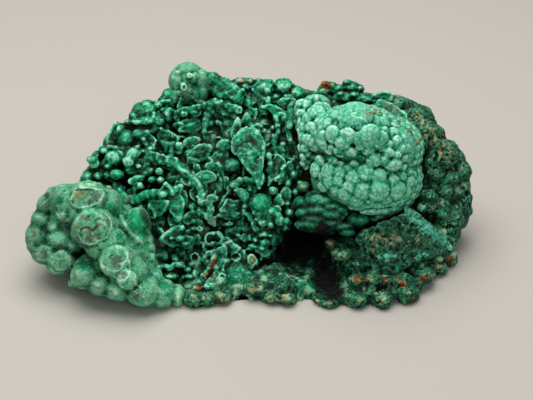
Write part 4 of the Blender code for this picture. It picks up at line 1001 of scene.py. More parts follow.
RIGHT_STRANDS = [
    (4, 5, 0.5, 0.5, [(94.8, 44.3), (96.6, 44.4), (98.4, 45.2)]),
    (8, 7, 0.6, 2.2, [(104, 60.4), (106, 60.6), (108, 59.6)]),
    (7, 5, 2.1, 1.2, [(107.6, 59.8), (109.4, 57), (110, 54), (109.6, 51.2), (108.4, 49.8)]),
    (4, 5, 0.9, 1.2, [(97, 48.3), (101, 48.7), (105.6, 49.2)]),
    (4, 5, 0.6, 0.7, [(96.6, 46.2), (102, 46.9), (108, 48.6), (110.4, 49.4)]),
    (3, 3, 0.5, 0.6, [(95, 50), (99, 50.6), (103, 50)]),
    (3, 3, 0.7, 0.6, [(98.4, 44), (101.6, 42.9), (103.6, 43.6), (102, 45.2)]),
    (12, 11, 1.3, 1.8, [(114.4, 50), (117, 49.2), (120, 50.4), (123.2, 50.2), (126, 48), (126.6, 45.4)]),
    (11, 11, 1.1, 1.2, [(116, 46.9), (119, 47.8), (122, 47.6), (125, 46)]),
    (11, 10, 0.6, 0.7, [(121.4, 47), (122.2, 44.4), (121.2, 42)]),
    (9, 8, 0.8, 0.8, [(117, 46), (116.8, 43.6), (118.6, 42.4)]),
    (8, 8, 0.8, 0.7, [(117, 38), (120, 39.9), (123.6, 40)]),
    (8, 7, 0.6, 0.6, [(118, 35), (119.6, 36.4), (121.6, 35), (121.8, 33), (120, 32)]),
    (6, 6, 0.6, 0.5, [(109.8, 31.8), (112.5, 31), (115.6, 32.2), (118, 34)]),
    (6, 6, 0.5, 0.5, [(111, 34), (113, 33.2), (114.6, 34.4)]),
    (5, 6, 0.5, 0.6, [(110.6, 28.6), (113.5, 29.8), (116, 29.3)]),
    (4, 3, 1.2, 1.1, [(125.6, 43), (125.2, 38), (124.9, 33.6), (122.6, 30)]),
    (5, 6, 1, 1.1, [(96.4, 39.3), (98, 37.2), (98.2, 34.6)]), (4, 5, 0.5, 0.5, [(95, 37.6), (96.6, 35)]),
    (11, 11, 1.1, 1.2, [(94, 27), (91.6, 22), (89, 18), (86.6, 14.4)]),
    (11, 11, 0.6, 0.6, [(100.6, 25.4), (99, 22), (97, 19.4)]),
    (12, 12, 0.7, 0.7, [(91, 30.8), (95, 32), (99.4, 33.2)]),
    (7, 8, 0.9, 1, [(104.6, 17.4), (106.6, 19), (109, 20.2)]),
    (8, 8, 0.7, 0.7, [(110, 29.6), (114, 30), (117.4, 27.6), (118, 24), (117.4, 21)]),
    (7, 7, 0.6, 0.6, [(109.3, 31), (109, 28), (109.8, 25.6)]),
    (-7, -6, 0.7, 0.8, [(119.4, 91.2), (121, 88.6), (120.4, 85.4), (119, 82.4)]),
    (0, 1, 0.8, 0.8, [(106.8, 82), (110, 81.4), (113.4, 80.2)]),
    (0, 1, 0.7, 0.6, [(107, 79.5), (109.5, 79), (112, 79.6)]),
    (1, 2, 0.8, 0.7, [(108.8, 77.8), (112, 77), (114.4, 77.6)]),
    (1, 3, 0.8, 0.8, [(111, 75.4), (115, 73.8), (118, 71.8)]),
    (3, 5, 0.9, 0.8, [(112.6, 73), (116, 71), (118.4, 67.4)]),
    (3, 6, 1, 0.9, [(113, 71), (114.6, 68.4), (116.6, 66), (116.6, 62.4)]),
    (-2, 0, 0.8, 0.7, [(118.4, 82), (118.7, 77), (118.2, 72)]),
    (-3, -3, 0.8, 0.8, [(104.4, 88), (106.4, 89.6), (109, 91.4), (111.4, 90.6)]),
    (-2, -1, 0.6, 0.6, [(104.4, 85), (107, 86.4), (108.4, 88.6)]),
    (-1, 0, 0.7, 0.6, [(108.6, 83.6), (111, 84.6), (112.6, 83)]),
    (-2, -1, 0.7, 0.7, [(112.4, 89.4), (114.6, 87.6), (116.4, 84.6)]),
    (0, 1, 0.7, 0.6, [(113.6, 82), (116, 80), (117.4, 77)]),
    (3, 5, 0.8, 1.6, [(100.8, 60.6), (102.4, 62.6), (104.2, 63.8)]),
    (5, 4, 1.5, 1.2, [(104.2, 63.8), (107, 65.6), (110, 66), (114.6, 65.8)]),
    (3, 3, 0.9, 0.8, [(104.6, 62.3), (108, 63.7), (113, 64.2)]),
    (0, 0, 0.8, 0.8, [(98.2, 68.8), (99.6, 65.4), (99.2, 60.6)]),
    (-3, -3, 0.9, 0.9, [(96.2, 68.6), (97.4, 65.6), (97, 62.4)]),
    (-5, -4, 0.6, 0.5, [(91.4, 77), (95, 79.6), (97.6, 81.3), (99.4, 80.2)]),
    (-4, -4, 0.5, 0.5, [(93, 76.2), (96, 78.4), (98.6, 79.2)]),
    (-4, -4, 0.5, 0.5, [(95.4, 76.4), (98, 77.4), (100, 78.6)]),
    (5, -4, 1.2, 1.1, [(125.2, 66.4), (127.8, 68.3), (129.2, 70.8), (132.6, 72.8)]),
    (1, -5, 0.8, 0.9, [(128, 71.4), (131, 74.2), (134, 76.4)]),
    (-5, -5, 0.9, 0.8, [(113.4, 92), (115, 93.4), (118, 93)]),
    (-8, -8, 0.6, 0.6, [(119, 95), (120.4, 92.4), (121.6, 90)]),
    (2, 3, 0.8, 0.8, [(86, 66.4), (90, 67.4), (94.4, 66.8)]),
    (2, 2, 0.6, 0.6, [(86.4, 68.6), (90, 68.8), (93, 68)]),
    (-2, -2, 0.8, 1, [(126.6, 64), (128.4, 66.4), (130, 68)]),
    (-4, -3, 1.2, 1.2, [(121.6, 70), (122, 74), (121.4, 78)]),
    (-10, -9, 1.2, 1, [(124.4, 87.6), (124, 83), (125, 79.6)]),
    (-9, -8, 1, 1, [(128.6, 84), (128, 80), (129, 76.6)]),
    (1, 1, 1.3, 1.2, [(101, 40.4), (106, 41.6), (111, 41)]),
    (3, 4, 1, 0.8, [(106, 38.4), (109, 36), (111.6, 37.6)]),
]
RIGHT_BOWL_LUMPS = [
    (117.3, 53.8, 4, 6.1, 5.4, 12), (123.5, 60.5, 2, 2.3, 2.3), (119, 45, 6, 3.6, 2.8),
    (122.2, 44, 6, 2.2, 2.6), (119, 41.6, 3, 5, 3.6), (116.2, 41, 3, 0.9, 0.9), (119.5, 38.8, 4, 4, 1.8),
    (122, 38.3, 4, 2, 1.6), (114.7, 36, 3, 1.7, 1.7), (119.4, 35, 3, 3.2, 2.6), (118, 32, 2, 3, 2),
    (114.4, 33, 1, 3.6, 1.6), (123.4, 37, 0, 2.6, 5, 9), (93.9, 39, 1, 1.1, 0.8), (94, 34.4, 0, 2.4, 1.6),
    (106.6, 17, 5, 8.4, 8.4, 12), (113, 92.6, -14, 2, 2), (109, 90.6, -9, 2.4, 1.3),
    (115.4, 89.4, -8, 2.6, 2.4), (104.8, 86.8, -11, 1.4, 1.8), (104.7, 82.6, -8, 1.6, 1.7),
    (108.4, 87, -8, 1, 1), (111.6, 86, -8, 1.3, 1.4), (107.6, 84.2, -8, 1.8, 1), (115.6, 85.6, -7, 1.7, 1.3),
    (117, 83.6, -7, 1.5, 1.5), (108.4, 77.4, -6, 1.8, 1.2), (116.2, 77, -5, 1.6, 1.4),
    (112.6, 78.8, -5, 1.4, 1), (110.8, 74.6, -4, 1.3, 1.2), (114.4, 75.4, -4, 1.5, 1.1),
    (116.6, 73, -3, 1.3, 1.4), (114.8, 69.6, -1, 1.2, 1.2), (118.6, 66, -2, 1.1, 2),
    (103, 73.4, -4, 4.2, 3.5), (97, 60.7, -4, 1, 0.8), (99, 72, -8, 3, 3), (112, 61, -3, 2.1, 1.8),
    (123.5, 92, -14, 1.4, 1.3), (119.2, 90.2, -12, 1, 1.3), (92.4, 94.2, -18, 1.9, 2.2),
    (96, 94.6, -18, 1.6, 1.8), (101.2, 56.4, 1, 0.6, 0.6), (104.3, 58.6, -3, 0.8, 0.8), (85.5, 12, 9, 3.4, 2),
    (91.5, 13, 9, 3.2, 2.4), (102, 28, 0, 3.6, 3.4), (100.6, 36.4, -1, 2.6, 1.8), (88.6, 24, -1, 3.2, 4.4),
    (109.4, 30.6, 1, 0.7, 0.7), (117.6, 26.6, 3, 0.8, 0.9), (126.6, 45, 0, 2.2, 2.4), (130, 45, -1, 3, 3),
    (131.6, 49.6, -3, 3, 3), (130.4, 54, -5, 2.8, 2.6), (129.6, 42, 0, 2.4, 1.8), (131, 64.4, -6, 2, 2.6),
    (133.6, 69, -8, 2.4, 3), (121, 79, -14, 3, 4), (99.4, 84.2, -12, 2.8, 1.6), (112, 36.8, -2, 2, 2.4),
    (108.6, 24.6, 0, 4, 5), (100.4, 43.8, -5, 3, 1.6), (138.4, 62.6, -4, 2.4, 2), (140, 60.6, -4, 1.6, 1.6),
    (137, 64.4, -5, 1.6, 1.4), (134.6, 60, -8, 2.6, 3), (134, 53, -6, 2.6, 3),
]
RIGHT_RINGS = [
    (93.6, 36.4, 5, 4, 3.2, 0.8), (105, 27.7, 9, 2.2, 2, 0.55), (98, 17.6, 12, 1.6, 1.7, 0.6),
    (95.3, 18.6, 11.5, 1.5, 1.4, 0.55), (104.1, 63.5, 6.4, 1, 0.9, 0.4), (132.4, 72.6, -3, 0.9, 0.9, 0.35),
    (91.6, 13, 13, 2, 1.3, 0.5), (101.6, 44, 3, 1.7, 0.8, 0.45),
]
print("right bowl", len(RIGHT_LEAVES), "leaves", len(RIGHT_STRANDS), "strands")

# %% [markdown]
# Between the traced leaves the floor of the bowl is full of smaller ones. Nobody could trace them,
# so scales grow on the floor lumps by the scatter tree. The thinnest strands are only pale
# streaks on their leaves, so they are kept for painting rather than modelled.

# %% Melt the bowl
THINNEST_STRAND = 0.85
FLOOR_SCALES = {
    "Spacing mm": 4.8, "Smallest mm": 2.0, "Largest mm": 3.8, "Stand": 0.2, "Long": 2.1, "Thin": 0.4,
    "Least facing": 0.5,
}
LEFT_FLOOR = [
    (86, 56, -22, 31, 25, 20), (74, 32, -12, 23, 22, 15), (58, 80, -26, 16, 13, 15),
    (70, 82, -26, 20, 16, 14),
]
RIGHT_FLOOR = [
    (120, 66, -24, 26, 21, 18), (110, 36, -16, 20, 18, 16), (102, 84, -28, 24, 16, 14),
    (98, 22, -6, 19, 12, 14),
]


def thick_enough(row):
    """Say whether a strand is thick enough to be modelled."""
    return max(row[2:4]) >= THINNEST_STRAND


for name, lumps, paths, leaves, rings, ground, seed in (
        ("bowl_left", LEFT_LUMPS, LEFT_STRANDS, LEFT_LEAVES, LEFT_RINGS, LEFT_FLOOR, 21),
        ("bowl_right", RIGHT_BOWL_LUMPS, RIGHT_STRANDS, RIGHT_LEAVES, RIGHT_RINGS, RIGHT_FLOOR, 22)):
    floor_scales = scales_on(ground, dict(FLOOR_SCALES, Seed=seed))
    clay = clay_object(name, lumps, strands(filter(thick_enough, paths)), leaves, rings=rings,
                       grown=[floor_scales])
    bowl = melt(clay, SILKY, 0.68,
                {"Cell mm": 2.6, "Cell height mm": 0.4, "Grain mm": 1.3, "Grain height mm": 0.9,
                 "Warp mm": 4.0, "Warp height mm": 1.4, "Seed": seed}, smooth=1)
    finish(bowl, leaves, rings, [row for row in paths if not thick_enough(row)])

# %% [markdown]
# ## Top ridge and knob
# A round knob stands at the upper left edge, and a ridge of folded crust with a curtain
# of thin drips runs to the right behind the bowl. It is traced as the bowl is.

# %% Trace the ridge
TOP_LEAVES = [
    (-10, 1, 1.4, [(118, 102), (120, 103), (122.5, 103.4), (125.6, 102.2), (129.4, 99.8), (127.5, 98.4),
        (124, 98), (122.4, 100.6)]),
    (-25, 0, 1, [(149.4, 115.6), (152.4, 112), (150, 108), (145.8, 110.4)]),
    (-15, 0, 1.2, [(171, 106), (175, 109), (181, 110), (183.2, 107.6), (180, 105.2)]),
    (-3, 4, 1.4, [(188.2, 95.4), (190, 99), (180, 105.4), (176, 105), (176.4, 100), (182, 95.4)]),
    (-12, 0, 1, [(81.4, 101.2), (84, 102), (87.4, 101.2), (86.6, 98.8), (84, 98.2)]),
    (-20, 0, 1, [(95.4, 108.4), (97, 108), (99.2, 106.4), (97.4, 106)]),
    (-24, 0, 1.4, [(104.6, 116), (108, 116.8), (112.4, 116.4), (112, 114), (107, 113.6)]),
    (-22, 0, 1.6, [(116.4, 111), (118.6, 115.4), (122.6, 115.8), (124.4, 112.6), (123.4, 109), (119, 108.2)]),
    (-22, 0, 1.6, [(124.4, 113), (126, 116), (131, 116.4), (134, 113.4), (132.4, 110.4), (127.4, 111)]),
    (-16, 0, 1, [(126, 105), (130, 106.6), (134.6, 106), (132, 102.4), (128, 101.6)]),
]
TOP_STRANDS = [
    (-24, -19, 3, 2.8, [(90.4, 117.2), (95, 115.2), (100, 113), (104, 110.6)]),
    (-22, -18, 2.2, 2.4, [(91.6, 111.6), (96, 110.2), (101, 108.4), (105.4, 106.6)]),
    (-18, -17, 0.8, 0.8, [(94, 116), (98, 113.4), (102, 111)]),
    (-12, -11, 1, 1, [(75, 99.4), (77.6, 101), (81, 101.6), (86, 102.6), (89, 102.8)]),
    (-12, -10, 1.2, 1.8, [(87, 102.4), (90.4, 103.4), (93.4, 104.6), (97, 104.4)]),
    (-10, -10, 0.9, 1, [(93, 103.2), (97, 102.3), (101, 101.2), (105, 100)]),
    (-11, -11, 1.4, 1, [(96, 101.6), (100, 99.6), (104, 97.8)]),
    (-11, -10, 1.5, 1.7, [(98, 103.4), (102.4, 102), (106.6, 101)]),
    (-11, -10, 1.7, 0.7, [(92.6, 103), (91.4, 100), (90, 97.4), (89.5, 93), (89.4, 88), (89.8, 86.6)]),
    (-13, -14, 2.2, 1.8, [(96.4, 101.4), (99.4, 98), (101.4, 94.4), (102, 90)]),
    (-15, -13, 0.9, 0.9, [(65.6, 99.8), (68, 101), (70.2, 101.6), (72.6, 100.7), (75.2, 99.2)]),
    (-16, -15, 1, 0.8, [(66, 99.6), (64.8, 97), (64.6, 94), (66.4, 91.6)]),
    (-14, -13, 0.6, 0.6, [(76, 96.2), (79, 97.2), (83, 97.6), (86.4, 98.4)]),
    (-13, -13, 1.2, 1, [(76, 99), (75.4, 96.6), (76.4, 94.4)]),
    (-22, -20, 0.7, 0.8, [(74.4, 107), (74, 104), (73.6, 101.4)]),
    (-21, -19, 0.9, 0.9, [(77.4, 107.6), (77, 104), (76.4, 101.6)]),
    (-21, -19, 0.8, 0.8, [(80.6, 106.4), (80, 103.8), (79.4, 102.4)]),
    (-16, -17, 1, 1, [(76.6, 109.4), (81, 108.6), (85.6, 106), (88.4, 104.4)]),
    (-25, -20, 1.2, 1, [(109.6, 109), (110.6, 104), (111.6, 99.6)]),
    (-24, -19, 1.4, 1.3, [(112.6, 109), (113, 104), (112.6, 99)]),
    (-24, -19, 1, 1.2, [(115.4, 108.6), (115.6, 104), (115, 99.8)]),
    (-24, -20, 0.9, 0.8, [(117.8, 108), (117.6, 104.6), (116.8, 101.6)]),
    (-22, -18, 0.6, 0.6, [(111.2, 108), (111.4, 104), (112, 100)]),
    (-23, -21, 0.7, 0.7, [(114.2, 113.6), (113.4, 111.4), (112.8, 108.8)]),
    (-22, -20, 0.8, 0.6, [(109, 113), (111.6, 112.4), (114.4, 113.4)]),
    (-16, -13, 1, 1.1, [(118, 103), (119.8, 105.4), (121.2, 106.6)]),
    (-14, -13, 0.9, 0.9, [(121.4, 106.6), (121.4, 104.6), (120.4, 103.4)]),
    (-8, -7, 1.3, 1.3, [(124.8, 97), (126, 98.6), (128.5, 98.7), (130, 96.6)]),
    (-7, -6, 1, 0.9, [(125.2, 97), (125.8, 93.6), (126.1, 90)]),
    (-7, -5, 1.3, 1, [(129.4, 97), (130.3, 93), (131.6, 88), (132, 86)]),
    (-9, -8, 1.5, 1.2, [(127.4, 97), (128, 94), (128.8, 91.4)]),
    (-14, -4, 2, 1.3, [(133.4, 103), (132.4, 98), (131.8, 93.4)]),
    (-12, -4, 1.3, 1.1, [(136.2, 103), (135.7, 98.6), (135, 95)]),
    (-6, -2, 1.6, 1.3, [(137.6, 98), (136.9, 94), (136.4, 91)]),
    (-19, -17, 0.9, 0.7, [(120, 112.6), (123, 113.4), (124, 115.2)]),
    (-18, -17, 0.6, 0.7, [(125.4, 112), (126.8, 113.6), (127, 115.6)]),
    (-20, -19, 0.7, 0.6, [(129, 112.4), (130.6, 114), (130.4, 116)]),
]
KNOB_LUMPS = [
    (81, 115, -28, 9.6, 9.6, 13), (76, 115.4, -25, 4.8, 6.6, 11), (87.6, 113.6, -25, 4.4, 8, 11),
    (86.6, 109, -23, 4.6, 5, 10), (81, 120, -26, 6.6, 5, 11), (78.7, 113, -21, 2.8, 2.6),
    (81.6, 118.3, -18, 1.7, 1.6, 5), (76, 119.4, -18, 1.6, 1.4, 5), (74, 116.4, -20, 1.8, 2.4, 6),
    (84.6, 117, -19, 2.4, 3, 6), (88, 110, -18, 2.6, 4, 6), (75, 107.4, -26, 5, 5, 10),
    (81, 109.4, -26, 6, 6, 12), (78, 106.4, -24, 3, 4, 8),
]
TOP_LUMPS = [
    (75, 105, -26, 5.6, 4, 10), (103, 112.3, -25, 3.6, 3.4), (98, 108, -24, 4.2, 3.2),
    (106.6, 108.8, -23, 2, 2.8), (108.4, 110.8, -21, 1, 0.9, 4), (107, 115, -29, 3.8, 1.9),
    (111.6, 115.2, -29, 2.6, 1.6), (116.4, 115.6, -29, 1.9, 1.2), (112, 103, -26, 4, 6.5, 8),
    (117.5, 104, -27, 4, 6, 8), (120.6, 110.6, -24, 3.4, 2.8), (119.4, 111.8, -26, 6.4, 4.4, 9),
    (128.4, 112, -26, 5.9, 4.6, 9), (135, 109, -26, 4.6, 4, 9), (131.6, 106.6, -24, 4.4, 3),
    (137.6, 109.4, -27, 2.4, 2.2), (128, 103.4, -23, 3.4, 2.8), (124.6, 107, -24, 2.6, 2.2),
    (109.5, 111.5, -30, 5, 3.6, 9), (68.8, 105.6, -24, 2.8, 2.3), (71.4, 108.4, -25, 3.6, 3.2),
    (72, 104, -23, 3.4, 3.8), (63.2, 102.4, -21, 4.6, 3.2), (71, 98, -17, 2.4, 3.2), (79, 99, -16, 3, 1.8),
    (84, 99.6, -16, 2.6, 1.8), (149, 110, -28, 3, 2.4), (155, 110.8, -28, 5, 3.2), (163, 112, -28, 4.6, 3.4),
    (160.6, 114.6, -28, 2.2, 1.6), (159, 107, -22, 6, 3), (168, 106.5, -20, 6, 3), (153, 113, -27, 2.4, 2),
    (166.6, 111.4, -26, 2.4, 2.4), (157, 108.6, -20, 2.2, 1.6), (164, 108.4, -19, 2.6, 1.5),
]
KNOB_RINGS = [(79, 112.4, -13, 1.3, 1.4, 0.5), (81.8, 118.2, -13.6, 1, 1, 0.45)]
TOP_RINGS = [
    (106.8, 100.9, -9, 1.4, 1.4, 0.5), (79.2, 98.9, -12, 1.1, 1.2, 0.45), (121, 105.4, -12, 0.7, 0.9, 0.35),
]
TOP_GROUND = [(118, 103, -32, 18, 9, 13), (72, 101, -30, 12, 7, 13)]
ridge_clay = clay_object("top_ridge", TOP_LUMPS, strands(filter(thick_enough, TOP_STRANDS)), TOP_LEAVES,
                         rings=TOP_RINGS, grown=[scales_on(TOP_GROUND, dict(FLOOR_SCALES, Seed=33))])
ridge = melt(ridge_clay, SILKY, 0.62,
             {"Cell mm": 2.6, "Cell height mm": 0.5, "Grain mm": 1.4, "Grain height mm": 1.0,
              "Warp mm": 4.0, "Warp height mm": 1.4, "Seed": 31}, smooth=1)
finish(ridge, TOP_LEAVES, TOP_RINGS, [row for row in TOP_STRANDS if not thick_enough(row)])
knob = melt(clay_object("top_knob", KNOB_LUMPS, rings=KNOB_RINGS), STALACTITE, 0.55,
            {"Cell mm": 3.4, "Cell height mm": 0.3, "Grain mm": 1.4, "Grain height mm": 0.5,
             "Warp mm": 5.0, "Warp height mm": 1.2, "Seed": 35}, smooth=3)
finish(knob, rings=KNOB_RINGS)

# %% [markdown]
# ## Botryoidal dome
# The dome is the finest part: velvet botryoids on a few large overlapping balls, its tiers. A
# botryoid is seated on its tier and turned to face outwards, tipped a little down, because each
# grew as a cap that hangs over its neighbour below. Those in front are listed one by one; the flanks
# are seen edge on, so a loop lays rings of caps round them.

# %% Seat botryoids on the dome
DOME_TIERS = [
    (165, 87, 3, 22, 14.5, 32.5), (181.5, 81.5, 1, 14.5, 14, 30), (169, 67, 0, 26.5, 19.5, 28),
    (170, 77, 0, 25, 12, 29.5),
]
UPPER_BOTRYOIDS = [
    (164.5, 96.2, 8.5), (154.2, 88.5, 4.4), (161, 88, 4), (149.1, 84.2, 3), (157.2, 80.6, 3.3),
    (162.4, 80.6, 3.2), (153.6, 82.2, 2.4), (149.3, 87.8, 3), (158.6, 84.4, 3.6), (171.3, 88, 5.6),
    (176, 85.9, 5), (171.3, 81.4, 3.4), (177.7, 82, 3.3), (181, 83.4, 2.6), (173.9, 76.3, 3.8),
    (179, 76.2, 3.5), (183.3, 74.4, 4.4), (187, 72.6, 3.2), (181.6, 79.6, 2.7), (185, 78.4, 2.6),
    (183.3, 89, 3.1), (185.4, 85.3, 2.7), (183.8, 92.2, 2.8), (178, 93.4, 3.6), (174.3, 94.6, 3.4),
    (178.4, 89.3, 3.1), (190, 81.6, 2.6), (187.6, 81.2, 2.4), (150.8, 93.6, 3), (148.2, 91.2, 2.5),
    (155, 97.4, 3.4), (168, 92.4, 4.2), (160.5, 92.6, 3.8), (166.2, 86.6, 3.2), (167, 83, 2.4),
    (188.5, 77, 2.4), (188.2, 86.4, 2.4), (172, 99.2, 3.4), (147.6, 84.6, 2.2), (151.6, 80.4, 2),
]
LOWER_BOTRYOIDS = [
    (152.1, 70.1, 4.2), (145.8, 71, 4), (148, 75.2, 3.6), (154.2, 75.6, 2.8), (161.5, 71.4, 2.9),
    (156.4, 65, 3), (152.4, 65, 3.4), (164, 66.9, 3.8), (166.2, 71.6, 2.7), (170, 69.4, 4.4),
    (162.4, 62.4, 3.8), (168.3, 60.9, 4.6), (160.2, 59.2, 4), (165, 56.6, 4), (175.6, 67.2, 4.4),
    (175.6, 60.9, 5.4), (178.4, 64.5, 2.8), (182.9, 65.6, 3.6), (184.6, 61, 4.9), (189, 60.6, 3.8),
    (180.4, 57.6, 3.4), (191.8, 57.6, 3), (190.6, 64.7, 3.7), (194.6, 62.2, 3.5), (194.2, 66.6, 2.8),
    (187, 67.7, 3.2), (190.6, 74.2, 3), (191, 70, 2.9), (192.7, 77.2, 2.8), (194.6, 74.4, 2.8),
    (195.2, 70.8, 3), (157.4, 69.6, 3.2), (149, 67.4, 2.6), (148.8, 62.8, 2.8), (155.4, 61, 3),
    (171.6, 73.4, 2.4), (166.6, 65, 2.6), (172, 64.4, 2.8), (171.8, 57, 3), (187.4, 57, 3),
    (193.6, 59.8, 2.6), (158, 74, 2), (164, 74.2, 2.2), (179.6, 70.2, 2.8), (184.4, 69.6, 2.6),
]
SCALLOPS = [
    (170, 54.4, 5.6, 2.6), (176.4, 54.2, 5, 2.4), (182.6, 55, 5, 2.6), (173, 51, 6.4, 2.8),
    (180, 51.4, 5.6, 2.6), (185, 53, 4.6, 2.4), (165.4, 53.4, 4.4, 2.6), (188.8, 55, 3.6, 2.4),
    (161.6, 56, 3.6, 2.4),
]
CAP_THICKNESS = 0.6
BIG_CAP = 3
CAP_STAND = 0.26
CAP_SPREAD = 1.04
UPPER_TIP, LOWER_TIP, SCALLOP_TIP, SECOND_TIP = 0.35, 0.15, 0.3, 0.2
FLANKS = [(0, 35, 150, 9), (1, -45, 95, 9), (2, -75, 40, 10)]
FLANK_RINGS = [(0.9, 2.8), (0.96, 3.2), (0.99, 3.0), (0.999, 3.4)]


def seat_on_tier(tier, u, v):
    """Return where (u, v) meets a tier, and the tier's outward direction there."""
    middle = Vector(tier[:3])
    half = Vector(tier[3:])
    share = 1 - ((u - middle.x) / half.x) ** 2 - ((v - middle.y) / half.y) ** 2
    w = middle.z + half.z * math.sqrt(max(share, 0.0))
    outward = Vector((
        (u - middle.x) / half.x ** 2, (v - middle.y) / half.y ** 2, (w - middle.z) / half.z ** 2,
    ))
    return Vector((u, v, w)), outward.normalized()


def cap_on_tier(tier, u, v, half_width, half_height, tip):
    """Return the ball arguments for one cap seated on a tier and tipped downwards."""
    seat, outward = seat_on_tier(tier, u, v)
    facing = (outward + Vector((0.0, -tip, 0.0))).normalized()
    side = Vector((0.0, 1.0, 0.0)).cross(facing).normalized()
    up = facing.cross(side)
    axes = FACE_AXES @ Matrix((side, up, facing)).transposed()
    seat += outward * half_height * CAP_STAND
    size = Vector((half_width, half_height, CAP_THICKNESS * min(half_width, half_height))) * CAP_SPREAD
    return axes, place(*seat), size * MM, 4 if half_width > BIG_CAP else 3


def outermost(tiers, u, v):
    """Return the tier that stands out furthest at (u, v)."""
    return max(tiers, key=lambda tier: seat_on_tier(tier, u, v)[0].z)


def caps_on(tiers, botryoids, tip):
    """Return caps for botryoids, each on the tier that stands out furthest there."""
    return [cap_on_tier(outermost(tiers, u, v), u, v, size[0], size[-1], tip) for u, v, *size in botryoids]


caps = caps_on(DOME_TIERS, UPPER_BOTRYOIDS, UPPER_TIP)
caps += caps_on(DOME_TIERS[2:], LOWER_BOTRYOIDS, LOWER_TIP)
for which, start, end, count in FLANKS:
    tier = DOME_TIERS[which]
    for reach, r in FLANK_RINGS:
        for turn in range(count):
            angle = math.radians(start + (end - start) * (turn + r % 1) / count)
            cap_u = tier[0] + reach * tier[3] * math.cos(angle)
            cap_v = tier[1] + reach * tier[4] * math.sin(angle)
            caps.append(cap_on_tier(tier, cap_u, cap_v, r, r, UPPER_TIP))
caps += caps_on(DOME_TIERS[2:3], SCALLOPS, SCALLOP_TIP)
print("dome caps", len(caps))

# %% [markdown]
# The dome faces the eye, so it is melted finely, at 0.58 mm, and smoothed only once: the folds
# between its botryoids are what shows. Shallow cells and a fine grain stand for the nap.

# %% Melt the dome
dome = melt(clay_object("botryoidal_dome", DOME_TIERS, scales=caps), VELVET, 0.58,
            {"Cell mm": 2.0, "Cell height mm": 0.35, "Grain mm": 1.2, "Grain height mm": 0.35,
             "Warp mm": 4.0, "Warp height mm": 0.7, "Seed": 41},
            smooth=1)
finish(dome)

# %% [markdown]
# ## Second dome and shelves
# Left of the dome stands an older, narrower one with a curtain of beads down its side, and
# below both hang dark shelves of flat botryoids.

# %% Melt the second dome
SECOND_BODIES = [
    (146.5, 90, -6, 10.5, 15, 18), (145, 103, -16, 7.5, 6, 12), (139.5, 85, -4, 3, 14, 12),
    (138.5, 100, -12, 5, 6, 12),
]
SECOND_BOTRYOIDS = [
    (147.8, 102.4, 4.4, 2.8), (145.3, 99.4, 4.4, 3.8), (140.6, 102.6, 3.6, 3.2), (137.8, 104, 3, 2.8),
    (138, 99, 3, 2.8), (141, 96.6, 3.2, 3), (146.8, 94.6, 2.8, 2.6), (143, 91.9, 3.2, 3),
    (139.2, 92, 2.8, 2.8), (141.8, 85.8, 3.8, 3.8), (138.4, 87, 2.4, 2.6), (144.2, 82.6, 2.6, 2.4),
    (139.4, 82, 2.2, 2.2), (140.8, 79.2, 2, 2), (143, 78, 2.4, 2.2), (138.6, 77.6, 1.8, 1.8),
    (141.2, 75.4, 1.9, 1.9), (138.6, 74.4, 1.7, 1.7), (140.2, 72.4, 1.7, 1.7), (145, 88.6, 2.6, 2.4),
    (151, 100.6, 3.4, 2.2), (152.6, 98.4, 3, 2.2), (148.6, 97, 3, 2.4), (144.6, 106, 5, 2.6),
    (137.4, 94.6, 2, 2.6), (137, 90, 1.6, 2), (137.2, 82, 1.6, 2), (144.6, 74.6, 2, 2),
]
second_caps = caps_on(SECOND_BODIES, SECOND_BOTRYOIDS, SECOND_TIP)
second = melt(clay_object("second_dome", SECOND_BODIES, scales=second_caps), VELVET, 0.6,
              {"Cell mm": 2.0, "Cell height mm": 0.4, "Grain mm": 1.2, "Grain height mm": 0.3, "Seed": 51},
              smooth=1)
finish(second)

# %% [markdown]
# The shelves grew as thin plates with rolled rims. Flat lumps, widened until they overlap, make
# the plates, and a few thin fingers along their fronts make the rims.

# %% Melt the shelves
SHELF_LUMPS = [
    (147.5, 55.4, 11, 6.6, 3.2), (153, 52.6, 12, 5, 2.4), (146, 50.6, 12, 5.6, 2.6),
    (152.4, 48.8, 13, 5.8, 2.4), (139.6, 49.4, 9, 4, 2.6), (157, 50.8, 12, 3.4, 2.4), (145, 46.6, 11, 7, 2.4),
    (142.4, 43.6, 11, 6.6, 2.6), (152.6, 44.8, 11, 6.4, 2.4), (158.6, 43, 11, 5, 2.2),
    (165, 46.2, 8, 5.4, 3.2, 12), (160.6, 40, 11, 3.4, 1.8), (137.6, 54.4, 1, 3.2, 3, 12),
    (141, 52.8, 7, 3.4, 2.8), (138.6, 62.4, -3, 2.8, 2.4, 12), (149, 40.8, 8, 5, 2), (148, 58.6, 6, 5, 2.4),
    (143, 57.4, 4, 3.4, 2.4), (168.6, 50.4, 6, 5, 2.4), (172.4, 46.6, 4, 4, 2),
]
SHELF_STRANDS = [
    (14, 16, 1, 1.1, [(141.4, 56), (145, 53.6), (150, 53), (153.6, 54.6)]),
    (16, 17, 1, 1, [(141, 50), (145, 48.2), (150, 48.4), (152, 50)]),
    (17, 17, 1.1, 1, [(147.6, 47.6), (152, 46.6), (157, 47), (159.6, 49.2)]),
    (15, 16, 1.1, 1.1, [(136.8, 42.4), (141, 41), (147, 41.6), (150.4, 43.4)]),
    (15, 15, 1, 1, [(149, 43), (154, 42.4), (160, 41.4), (162.6, 43)]),
]
SHELF_SPREAD = 1.25
wide_shelves = [(u, v, w, half_width * SHELF_SPREAD, half_height * SHELF_SPREAD, *depth)
                for u, v, w, half_width, half_height, *depth in SHELF_LUMPS]
